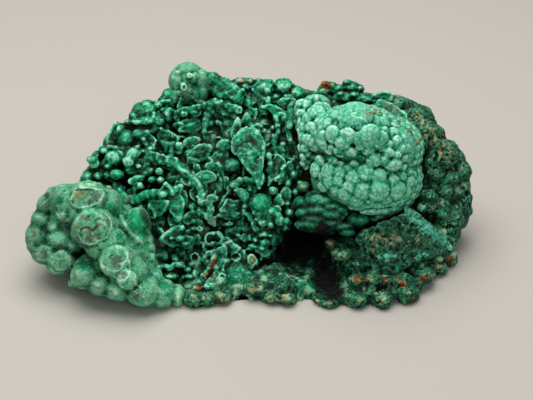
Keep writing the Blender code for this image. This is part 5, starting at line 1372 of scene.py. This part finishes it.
shelves = melt(clay_object("dark_shelves", wide_shelves, strands(SHELF_STRANDS)), SILKY, 0.62,
               {"Cell mm": 2.4, "Cell height mm": 0.25, "Grain mm": 1.4, "Grain height mm": 0.6,
                "Warp mm": 4.0, "Warp height mm": 1.0, "Seed": 52}, smooth=3)
finish(shelves)

# %% [markdown]
# ## Ledges, rim and right crust
# The lower rim and the right side are broken matrix: ledges, pits and blocks. Their lumps are
# grown until they join and smoothed hard, then strong relief with pits breaks the joined surface
# up. Thin slabs stand out of it as ledges, and the caves cut through it at the front.

# %% Melt the ledges and the right crust
RIM_FINGERS = [
    [(141, 28, -2, 2.4), (143.5, 30, 5, 2.2), (146.5, 29.3, 7, 2.2), (148, 25, 7, 2.4), (151, 18.5, 8, 2.6)],
    [(176, 22.5, 12, 2.8), (184, 22.5, 12, 2.8), (192, 25.8, 8, 2.8), (200, 29, 4, 2.8), (206, 31, 0, 2.6)],
    [(190, 48.3, 2, 3.2), (196, 44.3, 3, 3), (203, 40.5, 1, 3), (208, 36.8, -2, 3), (212.5, 32.8, -6, 2.8)],
]
RIM_LUMPS = [
    (137.5, 17, 4, 4, 8.5, 10), (131.7, 18.8, 8, 2.4, 2, 8), (126, 22, 2, 3, 2.6, 9), (130, 13, 10, 7, 5, 11),
    (123, 8, 14, 5, 3.6, 10), (130.5, 7, 15, 4.6, 3.2, 10), (112.5, 12.3, 12, 3.6, 3.4, 10),
    (117.3, 12.5, 12, 3.2, 3.4, 10), (98, 8, 14, 5.5, 3.2, 10), (90, 6.5, 15, 5, 4.2, 10),
    (83.5, 6.5, 16, 5, 4.4, 10), (152, 5, 17, 5, 3, 9), (146, 7.3, 15, 3, 2.6, 8), (165, 6.5, 16, 6, 4.6, 11),
    (178, 6.5, 16, 5.4, 4.8, 11), (173, 16, 14, 4, 3.6, 9), (166, 16, 14, 4, 3.3, 9),
    (179, 16, 12, 3.4, 2.8, 9), (189.5, 9.8, 12, 6.5, 6, 12), (187.5, 15.5, 12, 4.6, 4, 10),
    (199, 18.3, 4, 5, 3.6, 11), (205.5, 22.3, -2, 4.6, 3.7, 11), (211, 26.4, -10, 4, 3.8, 10),
    (155, 21, 10, 3.4, 2.4, 9), (157.5, 28.5, 10, 5, 3, 10), (151, 34.5, 6, 3, 2.2, 9),
    (161, 35, 2, 6, 4, 12), (163, 24, 8, 7, 6, 12), (169, 30, 8, 5, 5, 12), (178, 36, 10, 6.5, 4.6, 12),
    (187, 35, 8, 5.5, 4.2, 12), (180, 28.5, 12, 7, 3.6, 11), (190, 28, 4, 9, 4.5, 12),
    (194, 38, 2, 5, 3.2, 9), (184, 44, 4, 6, 3, 9), (172, 40, 6, 5, 3, 9), (199, 25, -2, 5, 3, 9),
    (208, 34, -8, 4, 3, 8), (171, 10, 16, 4, 3, 8), (184, 9, 14, 4, 3, 8), (195, 14, 8, 4, 3, 8),
    (159, 9, 15, 4, 3, 8),
]
RIGHT_LUMPS = [
    (196, 88, -12, 10, 9, 14), (195, 97, -18, 8, 6.5, 12), (206, 78, -14, 9, 8, 14),
    (187, 103.3, -22, 5.5, 3.9, 10), (193.5, 100, -22, 5, 4.6, 10), (200, 93.5, -24, 4, 4, 9),
    (205, 87.5, -24, 4, 5, 9), (211, 81.5, -24, 4, 3.9, 9), (215.5, 76.5, -24, 3.4, 4, 9),
    (217.3, 70.5, -22, 4.3, 5, 10), (218, 63, -24, 3.4, 4.4, 9), (219, 56.5, -26, 3.4, 4, 9),
    (219, 50.5, -26, 3.5, 3, 9), (216.5, 46, -24, 4, 4, 10), (212.5, 39, -18, 4, 5.5, 10),
    (203, 74.5, -8, 4.6, 3.4, 9), (208, 49.6, -6, 3, 2.8, 9), (207.5, 54, -8, 3, 2.6, 9),
    (202.5, 52, -6, 3.2, 2.7, 9), (198, 52.5, -4, 2.8, 3.2, 9), (205, 63, -14, 8, 8, 12),
    (210, 46, -14, 8, 8, 12), (200, 36, -8, 9, 7, 12), (191, 85, 0, 3, 2.6, 6), (199, 91, -4, 3.4, 2.6, 7),
    (204, 84, -6, 3.2, 2.8, 7), (191, 93, -4, 3, 3, 7), (210, 75, -8, 3, 3, 7), (197, 83.5, -1, 2.8, 2.2, 6),
    (212, 67, -12, 4, 3.4, 8), (205, 69, -5, 4, 3, 7), (201, 58, -3, 4, 3, 8), (209, 60, -8, 3, 3, 8),
]
WIDER, TALLER = 1.0, 0.6
LEDGE_BOX = (158, 212, 22, 46)
LEDGE_STEP_BACK = 6
LEDGE_SLABS = [
    (11, -11, 2.5, [(213, 32), (206, 28.6), (197, 25), (184, 20.6), (176, 25.4), (168.6, 34), (167.4, 39),
        (174, 43.4), (182, 46.6), (190, 49), (200, 42.4), (207, 36)]),
    (7, -7, 1.2, [(214, 30), (209.4, 31), (205.6, 34.6), (200.6, 36.6), (197, 40.4), (193, 43), (190.4, 47),
        (188, 53.4), (191.6, 53), (195, 50), (200, 46.6), (203.6, 42), (208.4, 39.4), (212, 35)]),
    (14, 0, 1.4, [(176, 33), (171, 31), (166, 33.4), (165, 37), (169, 40.6), (175, 41), (178, 37.4)]),
    (10, 2, 1.6, [(180, 21.6), (172, 22.6), (160, 26), (153.6, 31.4), (156, 34.6), (163, 31.6), (172, 28),
        (180, 25)]),
    (7, 2, 1.4, [(184, 15.4), (174, 16), (160, 17.6), (152, 22), (154, 25.6), (163, 23), (174, 20.6),
        (183, 19.6)]),
]


def crust_lumps(lumps):
    """Return lumps grown a little wider, with those behind the ledges set back."""
    left, right, low, high = LEDGE_BOX
    grown = []
    for u, v, w, half_width, half_height, *depth in lumps:
        back = LEDGE_STEP_BACK if left < u < right and low < v < high else 0
        grown.append((u, v, w - back, half_width + WIDER, half_height + TALLER, *depth))
    return grown


FOOT_OF_RIM = MATRIX_LUMPS[2]
ledge_clay = clay_object("lower_ledges", crust_lumps(RIM_LUMPS) + [FOOT_OF_RIM], RIM_FINGERS, LEDGE_SLABS)
ledges = melt(ledge_clay, CRUST, 0.75,
              {"Cell mm": 5.0, "Cell height mm": 0.4, "Grain mm": 1.6, "Grain height mm": 1.4,
               "Pit mm": 3.0, "Pit depth mm": 1.0, "Warp mm": 7.0, "Warp height mm": 2.6, "Seed": 61},
              cutter=CAVE_CUTTER, smooth=14)
finish(ledges, LEDGE_SLABS[:2])
crust = melt(clay_object("right_crust", crust_lumps(RIGHT_LUMPS)), CRUST, 0.75,
             {"Cell mm": 5.0, "Cell height mm": 0.3, "Grain mm": 1.6, "Grain height mm": 1.5,
              "Pit mm": 2.6, "Pit depth mm": 1.4, "Warp mm": 7.0, "Warp height mm": 3.0, "Seed": 71},
             smooth=24)
finish(crust)
bpy.data.objects.remove(CAVE_CUTTER)

# %% [markdown]
# ## A height map of the display face
# To tell which skin is in front, and how deep a gap lies between its neighbours, the furthest w
# over each square millimetre of the face is kept in an array. A point whose outlook is blocked
# by steep neighbours on most sides would get almost no light, so painted shade darkens its colour
# nearly to black. An ambient-occlusion node could find this too, but a stored number also lasts in exports.

# %% Map the heights
MAP_LOW = (-8, -8)
MAP_SIZE = (244, 148)
BEHIND_ALL = -60.0
FACE_NORMAL = np.array(FACE_AXES)[:, 2]


def piece_arrays(piece):
    """Return a piece's u, v, w and how much each point faces the front."""
    mesh = piece.data
    points = np.empty(len(mesh.vertices) * 3, dtype=np.float32)
    mesh.vertices.foreach_get("co", points)
    normals = np.empty(len(mesh.vertices) * 3, dtype=np.float32)
    mesh.vertices.foreach_get("normal", normals)
    u, v, w = face_places(points.reshape(-1, 3))
    return u, v, w, normals.reshape(-1, 3) @ FACE_NORMAL


def map_cells(u, v):
    """Return the height map's column and row for each point."""
    column = np.clip(u - MAP_LOW[0], 0, MAP_SIZE[0] - 1).astype(int)
    row = np.clip(v - MAP_LOW[1], 0, MAP_SIZE[1] - 1).astype(int)
    return column, row


heights = np.full(MAP_SIZE, BEHIND_ALL)
arrays = [piece_arrays(piece) for piece in PIECES]
for u, v, w, facing in arrays:
    np.maximum.at(heights, map_cells(u, v), w)
print("highest w", round(float(heights.max()), 1), "mm")

# %% Blocked outlook
LOOKS_ROUND = 8
LOOK_REACHES = (1.6, 3.0, 5.0, 8.0)


def blocked(u, v, w):
    """Return the share of each point's outlook that its neighbours block."""
    total = np.zeros(len(u))
    for turn in range(LOOKS_ROUND):
        angle = math.tau * turn / LOOKS_ROUND
        steepest = np.zeros(len(u))
        for reach in LOOK_REACHES:
            far = heights[map_cells(u + reach * math.cos(angle), v + reach * math.sin(angle))]
            steepest = np.maximum(steepest, (far - w) / reach)
        total += np.arctan(steepest)
    return total / (LOOKS_ROUND * math.pi / 2)


# %% [markdown]
# ## Patches of other minerals
# Rust, cream carbonate, turquoise-green and grey broken faces lie where they lie: they follow no
# rule, so each is listed as (u, v, radius), and only the skin in front takes them. Pale and dark
# spots are listed the same way: the pale ones are partly pale wear and partly painted highlight,
# the dark ones painted shade in caves and crevices. Lines are listed as (half width, strength,
# path). Pale ones mark the edges of broken stalactites, leaves and caps, partly as wear and partly
# as painted highlight. Dark ones are painted shade in cracks and crevices, and the wide faint ones
# are painted shade over hollows.

# %% List the patches
RUST = [
    (93, 23, 1.9), (92, 20, 1.8), (90, 18, 1.6), (94, 25, 1.5), (92, 29, 0.9), (95, 26, 1), (86, 12, 2.3),
    (83, 12, 1.3), (88, 13, 1), (101, 24, 1.2), (115, 15, 1.2), (112, 15, 1), (114, 25, 0.9), (113, 24, 0.9),
    (103, 8, 1.4), (96, 6, 1.3), (98, 6, 1), (153, 35, 1.5), (154, 34, 1), (166, 17, 2.2), (169, 16, 1.6),
    (164, 17, 1.2), (179, 16, 1.7), (181, 16, 1.1), (188, 14, 2.3), (186, 17, 1.6), (189, 13, 1.4),
    (173, 30, 1.3), (199, 17, 1.9), (197, 15, 1.3), (201, 18, 1.3), (195, 8, 1.3), (193, 6, 1.2),
    (205, 22, 1.5), (207, 23, 1.1), (212, 26, 2.3), (210, 26, 1.7), (213, 28, 1.3), (176, 5, 1.3),
    (128, 7, 1.2), (123, 6, 0.9), (150, 114, 4), (173, 100, 1.3), (177, 100, 1.2), (180, 100, 1),
    (191, 91, 0.9), (193, 89, 1), (196, 84, 1), (198, 86, 0.8), (201, 83, 1), (204, 84, 0.9), (206, 82, 1),
    (208, 80, 1), (209, 78, 1.1), (212, 76, 1.1), (213, 79, 1), (208, 82, 0.8), (186, 95, 1.4), (188, 96, 1),
    (28, 60, 0.8), (26, 58, 0.7), (36, 47, 0.7), (35, 42, 0.9), (33, 41, 0.8), (42, 27, 0.7), (4, 42, 1.1),
    (10, 57, 1), (9, 56, 0.8), (6, 30, 0.8), (4, 28, 0.7), (7, 41, 0.7), (43, 84, 0.9), (209, 88, 0.8),
    (66, 6, 0.8),
]
CREAM = [
    (26, 59, 2), (25, 57, 2), (29, 59, 2.2), (30, 57, 1.4), (30, 41, 2), (33, 41, 1.6), (36, 43, 1.6),
    (26, 43, 1.6), (24, 44, 1.6), (28, 47, 1.8), (53, 23, 1), (53, 26, 1.1), (54, 29, 1.2), (56, 19, 1.2),
    (63, 12, 1.2), (59, 26, 1.6), (62, 28, 1.6), (132, 19, 1.8), (151, 35, 1.8), (154, 30, 1.4),
    (157, 28, 1.6), (160, 27, 1.4), (153, 21, 1.4), (157, 20, 1.4), (174, 37, 2.2), (177, 38, 2),
    (180, 36, 2), (184, 38, 2.2), (187, 36, 2), (183, 34, 1.8), (189, 33, 1.6), (175, 34, 1.8),
    (173, 31, 1.6), (196, 36, 1.8), (172, 17, 2), (169, 12, 1.6), (182, 13, 1.8), (175, 12, 1.4),
    (160, 12, 1.4), (205, 19, 2), (214, 28, 1.6), (191, 10, 1.6), (122, 7, 2.4), (126, 5, 2), (130, 7, 2.4),
    (134, 5, 1.6), (113, 11, 2.2), (117, 12, 2), (109, 8, 1.4), (208, 54, 1.4), (113, 27, 1.7),
    (112, 23, 0.9), (171, 99, 1.6), (175, 101, 1.8), (179, 102, 1.4), (196, 98, 2.4), (199, 95, 2.2),
    (203, 91, 2.2), (205, 87, 2), (209, 84, 1.8), (212, 81, 1.8), (200, 88, 2), (196, 86, 2), (192, 90, 1.8),
    (202, 84, 1.8), (207, 79, 1.8), (94, 45, 1.6), (42, 84, 1.5), (43, 83, 0.9), (145, 30, 1.8),
    (148, 28, 1.3), (107, 116, 2.6), (111, 115, 1.8), (117, 116, 1.2), (138, 63, 1.9), (140, 61, 1.2),
    (4, 39, 1.6), (13, 59, 1.6), (95, 28, 1.4), (90, 8, 1.8), (97, 9, 1.8), (101, 6, 1.5), (84, 8, 1.5),
    (79, 5, 1.4), (117, 29, 1.2), (146, 5, 1.6), (152, 5, 1.6), (167, 6, 1.8), (179, 7, 1.8), (217, 52, 1.4),
    (213, 88, 1), (73, 88, 1), (58, 84, 1.2),
]
TURQUOISE = [
    (190, 52, 2.2), (191, 49, 2.6), (194, 47, 3), (198, 44, 3.2), (201, 41, 3.2), (205, 38, 3),
    (208, 36, 2.8), (212, 32, 2.4), (198, 52, 1.8), (180, 28, 2.6), (176, 27, 2), (184, 27, 2),
    (200, 29, 1.8), (196, 28, 1.8), (92, 30, 1.8), (98, 32, 1.8), (98, 26, 2), (96, 23, 1.6), (87, 15, 1.3),
    (104, 33, 2), (95, 19, 1.4), (98, 17, 1.4), (71, 23, 1.8), (76, 24, 1.6), (63, 28, 1.6), (64, 20, 2),
]
EMERALD = [
    (74, 55, 4), (71, 59, 2.6), (77, 49, 2.4), (56, 45, 5.4), (54, 49, 3), (58, 39, 3.4), (47, 38, 2.6),
    (49, 36, 2), (45, 50, 3), (42, 53, 2.2), (66, 52, 4), (67, 45, 2.4), (78, 37, 3.4), (72, 38, 3),
    (73, 46, 2), (118, 54, 5.4), (125, 51, 2.2), (126, 56, 2), (46, 69, 3.4), (54, 66, 3), (58, 69, 2),
    (48, 60, 2.6), (54, 61, 2), (62, 58, 4), (56, 57, 3), (63, 66, 2), (52, 72, 2.4), (33, 76, 1.6),
    (48, 87, 2), (79, 56, 1.8), (84, 36, 1.6), (90, 68, 3.4), (83, 69, 1.8), (76, 73, 2.4), (73, 81, 1.8),
    (82, 93, 4), (84, 100, 2.2), (86, 112, 3), (87, 109, 2.4), (71, 108, 3.4), (72, 103, 2.6), (95, 114, 2.6),
    (99, 109, 3), (104, 106, 2), (122, 102, 3.4), (125, 100, 2.4), (133, 98, 3), (93, 57, 2), (109, 57, 2.4),
    (102, 49, 3), (97, 45, 1.6), (112, 47, 1.8), (99, 84, 3), (93, 73, 2.4), (99, 65, 1.8), (104, 74, 2),
    (111, 66, 3), (112, 61, 2), (123, 60, 1.6), (112, 75, 2.4), (115, 80, 2.4), (107, 88, 1.6), (111, 96, 2),
    (92, 94, 2), (118, 34, 2), (112, 32, 2.6), (121, 39, 1.8), (118, 27, 1.2), (160, 76, 3), (166, 77, 3),
    (171, 78, 1.6), (153, 77, 2.4), (156, 79, 2), (29, 23, 4), (27, 27, 2.4), (36, 31, 1.6), (69, 14, 3),
    (71, 8, 2), (67, 29, 3), (208, 50, 2), (150, 49, 2.6), (146, 44, 2), (129, 45, 2), (137, 112, 2),
    (205, 60, 2.4), (210, 66, 2), (180, 107, 1.8), (164, 112, 2), (17, 56, 2.4), (143, 13, 2.6),
    (137, 13, 2.6), (186, 22, 2), (170, 23, 2), (217, 68, 2),
]
GREY = [
    (4, 40, 2), (9, 53, 2), (35, 58, 3.2), (32, 55, 1.8), (32, 37, 3), (36, 38, 2), (31, 46, 1.8),
    (45, 25, 3.4), (46, 27, 2), (48, 19, 2.8), (55, 8, 2.4), (9, 30, 2.2), (4, 30, 1.6), (40, 46, 2),
    (181, 104, 2), (185, 101, 2.4), (216, 62, 2), (217, 71, 2), (17, 33, 2), (51, 56, 2),
]
# painted shade: dark spots in the caves and in crevices between forms
PAINTED_SHADE_SPOTS = [
    (137, 34, 10), (130, 30, 7), (144, 34, 8), (148, 40, 5), (150, 16, 7), (147, 24, 5), (154, 10, 5),
    (31, 48, 0.7), (28, 47, 0.5), (23, 55, 0.6), (26, 61, 0.7), (14, 61, 0.6), (54, 12, 0.7), (46, 17, 0.4),
    (63, 25, 0.6), (63, 30, 0.7), (10, 40, 0.7), (7, 40, 0.6), (14, 33, 0.6), (6, 33, 0.7), (43, 28, 0.4),
    (55, 74, 0.5), (113, 86, 0.9), (110, 86, 0.7), (112, 82, 0.6), (159, 92, 0.5), (166, 88, 0.5),
    (178, 80, 0.7), (184, 89, 0.5), (117, 41, 0.8), (103, 58, 1.6), (104, 28, 1.4), (94, 36, 1.8),
]
# pale spots: partly pale wear and partly painted highlight on lit tops and faces
PALE = [
    (120, 112, 4.4), (129, 113, 5), (135, 110, 3), (103, 112, 3.4), (107, 116, 2.4), (58, 98, 4),
    (62, 97, 3.4), (61, 102, 3), (71, 108, 2.6), (85, 64, 3), (87, 59, 2.4), (91, 51, 2.2), (121, 50, 3.4),
    (117, 46, 2.4), (119, 30, 1.8), (79, 70, 2), (109, 58, 1.8), (108, 87, 2.4), (115, 90, 2.4),
    (110, 75, 1.8), (119, 66, 1.6), (110, 98, 1.8), (105, 94, 1.6), (96, 26, 2.6), (95, 31, 3), (93, 45, 2),
    (128, 98, 2), (44, 77, 2), (83, 24, 1.6), (81, 21, 1.4), (94, 39, 1.2), (186, 100, 3), (181, 104, 2),
    (150, 53, 3.4), (146, 56, 3), (73, 53, 1.8), (86, 48, 2.4), (98, 80, 1.8), (54, 80, 2), (61, 79, 2.4),
    (67, 66, 1.6),
]
# pale lines on the edges of broken stalactites and caps: partly wear, partly painted highlight
PALE_LINES = [
    (0.35, 1, [(23.6, 59), (22.3, 56), (23, 54), (25.3, 52.1), (28, 52.4), (32, 53.1), (35.5, 54.4), (38, 57),
        (38.9, 59.4), (40.4, 61)]),
    (0.3, 0.8, [(25, 61.8), (28, 62.4), (31, 62.2), (36, 61.4), (40.2, 61.2)]),
    (0.4, 0.9, [(20.8, 43.6), (21.3, 41.5), (22.5, 39.5), (24.2, 37.9)]),
    (0.3, 0.8, [(26.4, 38.2), (27.6, 36), (29, 34.5), (31.5, 33.6), (34.5, 34.2), (36, 35.6), (38.4, 36.1),
        (40.5, 37.5), (41.6, 40), (42.5, 42), (42.8, 45), (41.6, 47.4), (39.5, 49.3)]),
    (0.25, 0.6, [(35.2, 36), (38, 36), (40, 37.6), (41, 39.4)]),
    (0.35, 0.8, [(15.3, 49.6), (17, 47.2), (18.7, 45.8), (19.8, 45.2), (21, 46.3)]),
    (0.35, 0.7, [(18.4, 44.6), (19.2, 42.4), (20.2, 40.8)]),
    (0.35, 0.9, [(37.4, 24.9), (38.2, 23.2), (40, 21.9), (42.5, 20.7), (44.6, 20.3), (46.5, 20.8), (48, 22),
        (48.5, 24.4), (50, 25.5), (50.8, 27.5), (50.5, 29.6)]),
    (0.35, 0.9, [(44.6, 17.5), (46, 16), (47.5, 15.8), (49.5, 16.3), (51.3, 18), (52, 20.5), (51.8, 23),
        (51.5, 25.5)]),
    (0.35, 0.8, [(52, 11.2), (53.6, 10.4), (55.6, 10.8), (57, 12.5), (57, 14)]),
    (0.3, 0.5, [(51.8, 8), (53.6, 8.2), (56, 9.5), (58.2, 8.5), (59.4, 6.8)]),
    (0.35, 0.6, [(5.4, 26.4), (7.4, 26), (9.5, 25.6), (11, 26.5)]),
    (0.35, 0.5, [(11.8, 28), (14, 27), (16.5, 26.3), (18.8, 26.9)]),
    (0.3, 0.4, [(19.5, 18), (22, 18.3), (24.6, 18)]),
    (0.3, 0.5, [(45, 53), (47.4, 47.6), (50.4, 42.4), (54, 38.6), (58, 35)]),
    (0.3, 0.4, [(46.4, 47), (49, 42.6), (52.6, 38.8), (56.4, 35.6)]),
    (0.4, 0.4, [(66.8, 12), (67.2, 8), (66.6, 4.4)]),
    (0.4, 0.5, [(171.6, 73.6), (173.6, 72.7), (176, 73.2), (177.4, 75)]),
    (0.4, 0.5, [(169.4, 79.4), (171.2, 78.4), (173.4, 79)]),
    (0.35, 0.5, [(155, 78.6), (157, 77.6), (159.4, 78.4)]),
    (0.35, 0.5, [(160.2, 78.6), (162.4, 77.6), (164.8, 78.6)]),
    (0.35, 0.5, [(150.6, 89), (152, 85.6), (155, 84.6), (158, 86.4)]),
    (0.35, 0.5, [(188.6, 69.8), (189.8, 72), (189, 75)]), (0.35, 0.5, [(148, 82), (150, 80), (152.6, 79.8)]),
    (0.4, 0.5, [(152, 94), (157, 90.6), (162, 89.2), (166, 90)]),
    (0.35, 0.4, [(149.6, 68.6), (151.4, 67), (154, 67.2), (155.6, 69)]),
    (0.35, 0.4, [(172, 59), (174.6, 57), (178, 57.8)]),
    (0.35, 0.4, [(181, 59.4), (184, 57.4), (187.4, 58.4)]),
    (0.35, 0.4, [(163.6, 98), (168, 97), (171.6, 94.6)]),
    (0.35, 0.45, [(179.6, 72.6), (182, 71), (185.4, 72)]),
    (0.35, 0.45, [(174.4, 84), (176, 82.4), (179, 82.6)]),
]
# painted shade: dark lines in cracks and crevices, and wide faint ones over hollows
PAINTED_SHADE_LINES = [
    (5, 0.4, [(6, 28), (5, 38), (8, 48), (13, 56)]), (3, 0.6, [(19, 44), (25, 35), (28, 28)]),
    (4, 0.3, [(17, 28), (27, 20), (38, 12)]), (7, 0.35, [(140, 56), (150, 48), (162, 43)]),
    (3, 0.45, [(77, 107), (84, 108), (88, 114)]), (9, 0.3, [(92, 88), (100, 62), (98, 40), (86, 30)]),
    (1.8, 0.85, [(58.6, 50.4), (62, 44), (65, 38), (66.4, 31), (67.4, 25.6)]),
    (0.4, 0.9, [(26, 61.3), (29, 61), (31, 61.4), (33.4, 60.8)]),
    (0.4, 0.9, [(34.4, 45.4), (35.5, 46.6), (37.4, 46.7)]),
    (0.45, 0.9, [(27.4, 41.4), (29.5, 42.2), (31.6, 42.2), (33.2, 40.8), (34.2, 41.4), (35.8, 43.2)]),
    (0.4, 0.8, [(27.6, 41), (27, 39.5), (27.4, 37.8)]), (0.35, 0.7, [(41.6, 27), (42.4, 28), (43.2, 28.6)]),
    (0.35, 0.6, [(37.4, 44), (39, 43), (39.4, 41.4)]), (0.35, 0.7, [(4.2, 32.8), (6.4, 33.2), (7.4, 32.6)]),
    (0.5, 0.8, [(112.2, 87.6), (113.6, 84.9)]), (0.4, 0.6, [(25, 12.4), (32, 13.4), (38, 11.6), (43, 10.2)]),
    (0.5, 0.8, [(80, 116.6), (82, 114.6), (84.4, 113.2), (85.4, 113.6)]),
    (0.4, 0.6, [(84.8, 119), (85.4, 116), (85.6, 113.8)]),
    (0.4, 0.5, [(147.4, 76.6), (155, 79), (163, 77.6)]),
]
print("patches", sum(map(len, (RUST, CREAM, TURQUOISE, EMERALD, GREY, PAINTED_SHADE_SPOTS, PALE))))

# %% [markdown]
# ## Marks stored on the points
# Each mark becomes a number stored on the points of a piece, which its material reads by name. A
# spot's edge is bent by sine waves first, because a round patch would look painted on. Marks are
# kept to the skin in front, and shade to skin that is turned to the front.

# %% Spots and lines
RAGGED_MM = 0.7
LINE_FADE = 1.7


def clipped(values):
    """Return values kept between 0 and 1."""
    return np.clip(values, 0.0, 1.0)


def spot_share(spots, u, v, edge):
    """Return a share that fades from 1 inside each ragged spot to 0 past its edge."""
    share = np.zeros(len(u))
    u, v = (u + RAGGED_MM * np.sin(2.6 * v + 2.0 * np.sin(1.5 * u)),
            v + RAGGED_MM * np.sin(2.2 * u + 2.0 * np.sin(1.9 * v)))
    for spot_u, spot_v, radius in spots:
        near = np.abs(u - spot_u) < radius * 1.5
        away = np.hypot(u[near] - spot_u, v[near] - spot_v) / radius
        share[near] = np.maximum(share[near], clipped((1.0 + edge - away) / (2 * edge)))
    return share


def line_share(half_width, strength, path, u, v):
    """Return the points near a line, and their shares, full on it and fading past its width."""
    path = np.array(path)
    low, high = path.min(axis=0) - 2 * half_width, path.max(axis=0) + 2 * half_width
    near = np.nonzero((u > low[0]) & (u < high[0]) & (v > low[1]) & (v < high[1]))[0]
    away = np.full(len(near), np.inf)
    for start, end in zip(path, path[1:]):
        run = end - start
        from_u, from_v = u[near] - start[0], v[near] - start[1]
        t = clipped((from_u * run[0] + from_v * run[1]) / (run @ run))
        away = np.minimum(away, np.hypot(from_u - t * run[0], from_v - t * run[1]))
    return near, strength * clipped(LINE_FADE - away / half_width)


def draw_line(layer, near, share):
    """Lay a line's share on a layer where it is stronger than what is there."""
    layer[near] = np.maximum(layer[near], share)

# %% Lay shade and patches on every piece
SKIN_DEPTH = 3.0
SKIN_FADE = 1.5
SHADE_START, SHADE_END = 0.52, 0.8
DEEPEST_SHADED, SHADE_FADE = -36, 10
FULL_SHADE = 0.95
FACING_GAIN = 4
MARKS_FROM, PAINTED_SHADE_SPOTS_FROM, SHADE_FROM = 1, 2, -0.2
SPOT_EDGE, PALE_EDGE, PAINTED_SHADE_EDGE = 0.35, 0.5, 0.25
PALE_STRENGTH = 0.45
EDGE_REACH = 5


def store(piece, name, values):
    """Store one number for each point of a piece."""
    layer = piece.data.attributes.new(name, "FLOAT", "POINT")
    layer.data.foreach_set("value", values.astype(np.float32))


def hand_over(piece):
    """Attach the finished piece to the root body and hide the solid that it stands in for."""
    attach(piece, "root")
    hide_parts("malachite_specimen")


for piece, (u, v, w, facing) in zip(PIECES, arrays):
    front = clipped((w - heights[map_cells(u, v)] + SKIN_DEPTH) / SKIN_FADE)
    front *= clipped(facing * FACING_GAIN + MARKS_FROM)
    for name, spots in (("rust", RUST), ("cream", CREAM), ("turquoise", TURQUOISE), ("emerald", EMERALD),
                        ("grey", GREY)):
        store(piece, name, spot_share(spots, u, v, SPOT_EDGE) * front)
    # pale rim: partly wear and partly painted highlight
    rim = PALE_STRENGTH * spot_share(PALE, u, v, PALE_EDGE)
    for row in PALE_LINES:
        draw_line(rim, *line_share(*row, u, v))
    rim *= front
    for half_width, strength, edge_w, path in EDGE_LINES:
        near, share = line_share(half_width, strength, path, u, v)
        draw_line(rim, near, share * front[near] * (np.abs(w[near] - edge_w) < EDGE_REACH))
    store(piece, "rim", rim)
    # painted shade from the listed dark spots and lines
    dark = spot_share(PAINTED_SHADE_SPOTS, u, v, PAINTED_SHADE_EDGE) * clipped(facing * FACING_GAIN + PAINTED_SHADE_SPOTS_FROM)
    for row in PAINTED_SHADE_LINES:
        near, share = line_share(*row, u, v)
        draw_line(dark, near, share * front[near])
    # painted shade where neighbours block the outlook, nearly black
    shade = clipped((blocked(u, v, w) - SHADE_START) / (SHADE_END - SHADE_START))
    shade *= clipped(facing * FACING_GAIN + SHADE_FROM) * clipped((w - DEEPEST_SHADED) / SHADE_FADE)
    store(piece, "dark", np.maximum(dark, shade * FULL_SHADE))
    hand_over(piece)
    print(piece.name, "shaded share", round(float((shade > 0.5).mean()), 2))

# %% [markdown]
# ## Table, light and camera
# The specimen stands on a plain pale sweep under one large soft light from above and a little
# behind, with weak fill from the front, so that the caps are lightest and a soft shadow falls
# forward beneath the rim. The camera looks straight at the display face.

# %% Floor
FLOOR_HALF = 3.0
floor_clay = bmesh.new()
bmesh.ops.create_grid(floor_clay, x_segments=8, y_segments=8, size=FLOOR_HALF)
floor_mesh = bpy.data.meshes.new("pale_table")
floor_clay.to_mesh(floor_mesh)
floor_clay.free()
floor = bpy.data.objects.new("pale_table", floor_mesh)
bpy.context.collection.objects.link(floor)
paper = bpy.data.materials.new("matt_paper_sweep")
paper.use_nodes = True
sheet = paper.node_tree.nodes["Principled BSDF"].inputs
sheet["Base Color"].default_value = linear("#bab6b0")
sheet["Roughness"].default_value = 0.9
floor_mesh.materials.append(paper)
print("floor reaches", FLOOR_HALF, "m each way")

# %% Lights and world
LIT_POINT = Vector((0.0, 0.0, 0.03))


def soft_light(name, place_m, width, height, watts, hex_code):
    """Add one large soft light that faces the specimen."""
    lamp = bpy.data.lights.new(name, "AREA")
    lamp.shape = "RECTANGLE"
    lamp.size = width
    lamp.size_y = height
    lamp.energy = watts
    lamp.color = linear(hex_code)[:3]
    light = bpy.data.objects.new(name, lamp)
    bpy.context.collection.objects.link(light)
    light.location = place_m
    light.rotation_euler = (LIT_POINT - Vector(place_m)).to_track_quat("-Z", "Y").to_euler()


soft_light("overhead_softbox", (-0.1, 0.08, 0.92), width=1.0, height=0.9, watts=11.0, hex_code="#fffcf8")
soft_light("front_fill", (0.2, -1.1, 0.7), width=0.8, height=0.6, watts=2.4, hex_code="#f6faff")
world = bpy.data.worlds.new("studio")
world.use_nodes = True
sky = world.node_tree.nodes["Background"].inputs
sky["Color"].default_value = linear("#e2dfd8")
sky["Strength"].default_value = 0.36
bpy.context.scene.world = world
print("lights", [light.name for light in bpy.data.lights])

# %% Camera
LENS = 108.07
SENSOR_WIDTH = 36.0
camera_data = bpy.data.cameras.new("display_camera")
camera_data.lens = LENS
camera_data.sensor_width = SENSOR_WIDTH
camera = bpy.data.objects.new("display_camera", camera_data)
bpy.context.collection.objects.link(camera)
camera.rotation_euler = FACE_AXES.to_euler()
camera.location = place(*FACE_MIDDLE, 0.0) + FACE_AXES @ Vector((0.0, 0.0, SIGHT_DISTANCE)) * MM
bpy.context.scene.camera = camera
bpy.context.scene.view_settings.view_transform = "Standard"
print("camera stands", round(camera.location.length, 3), "m away")
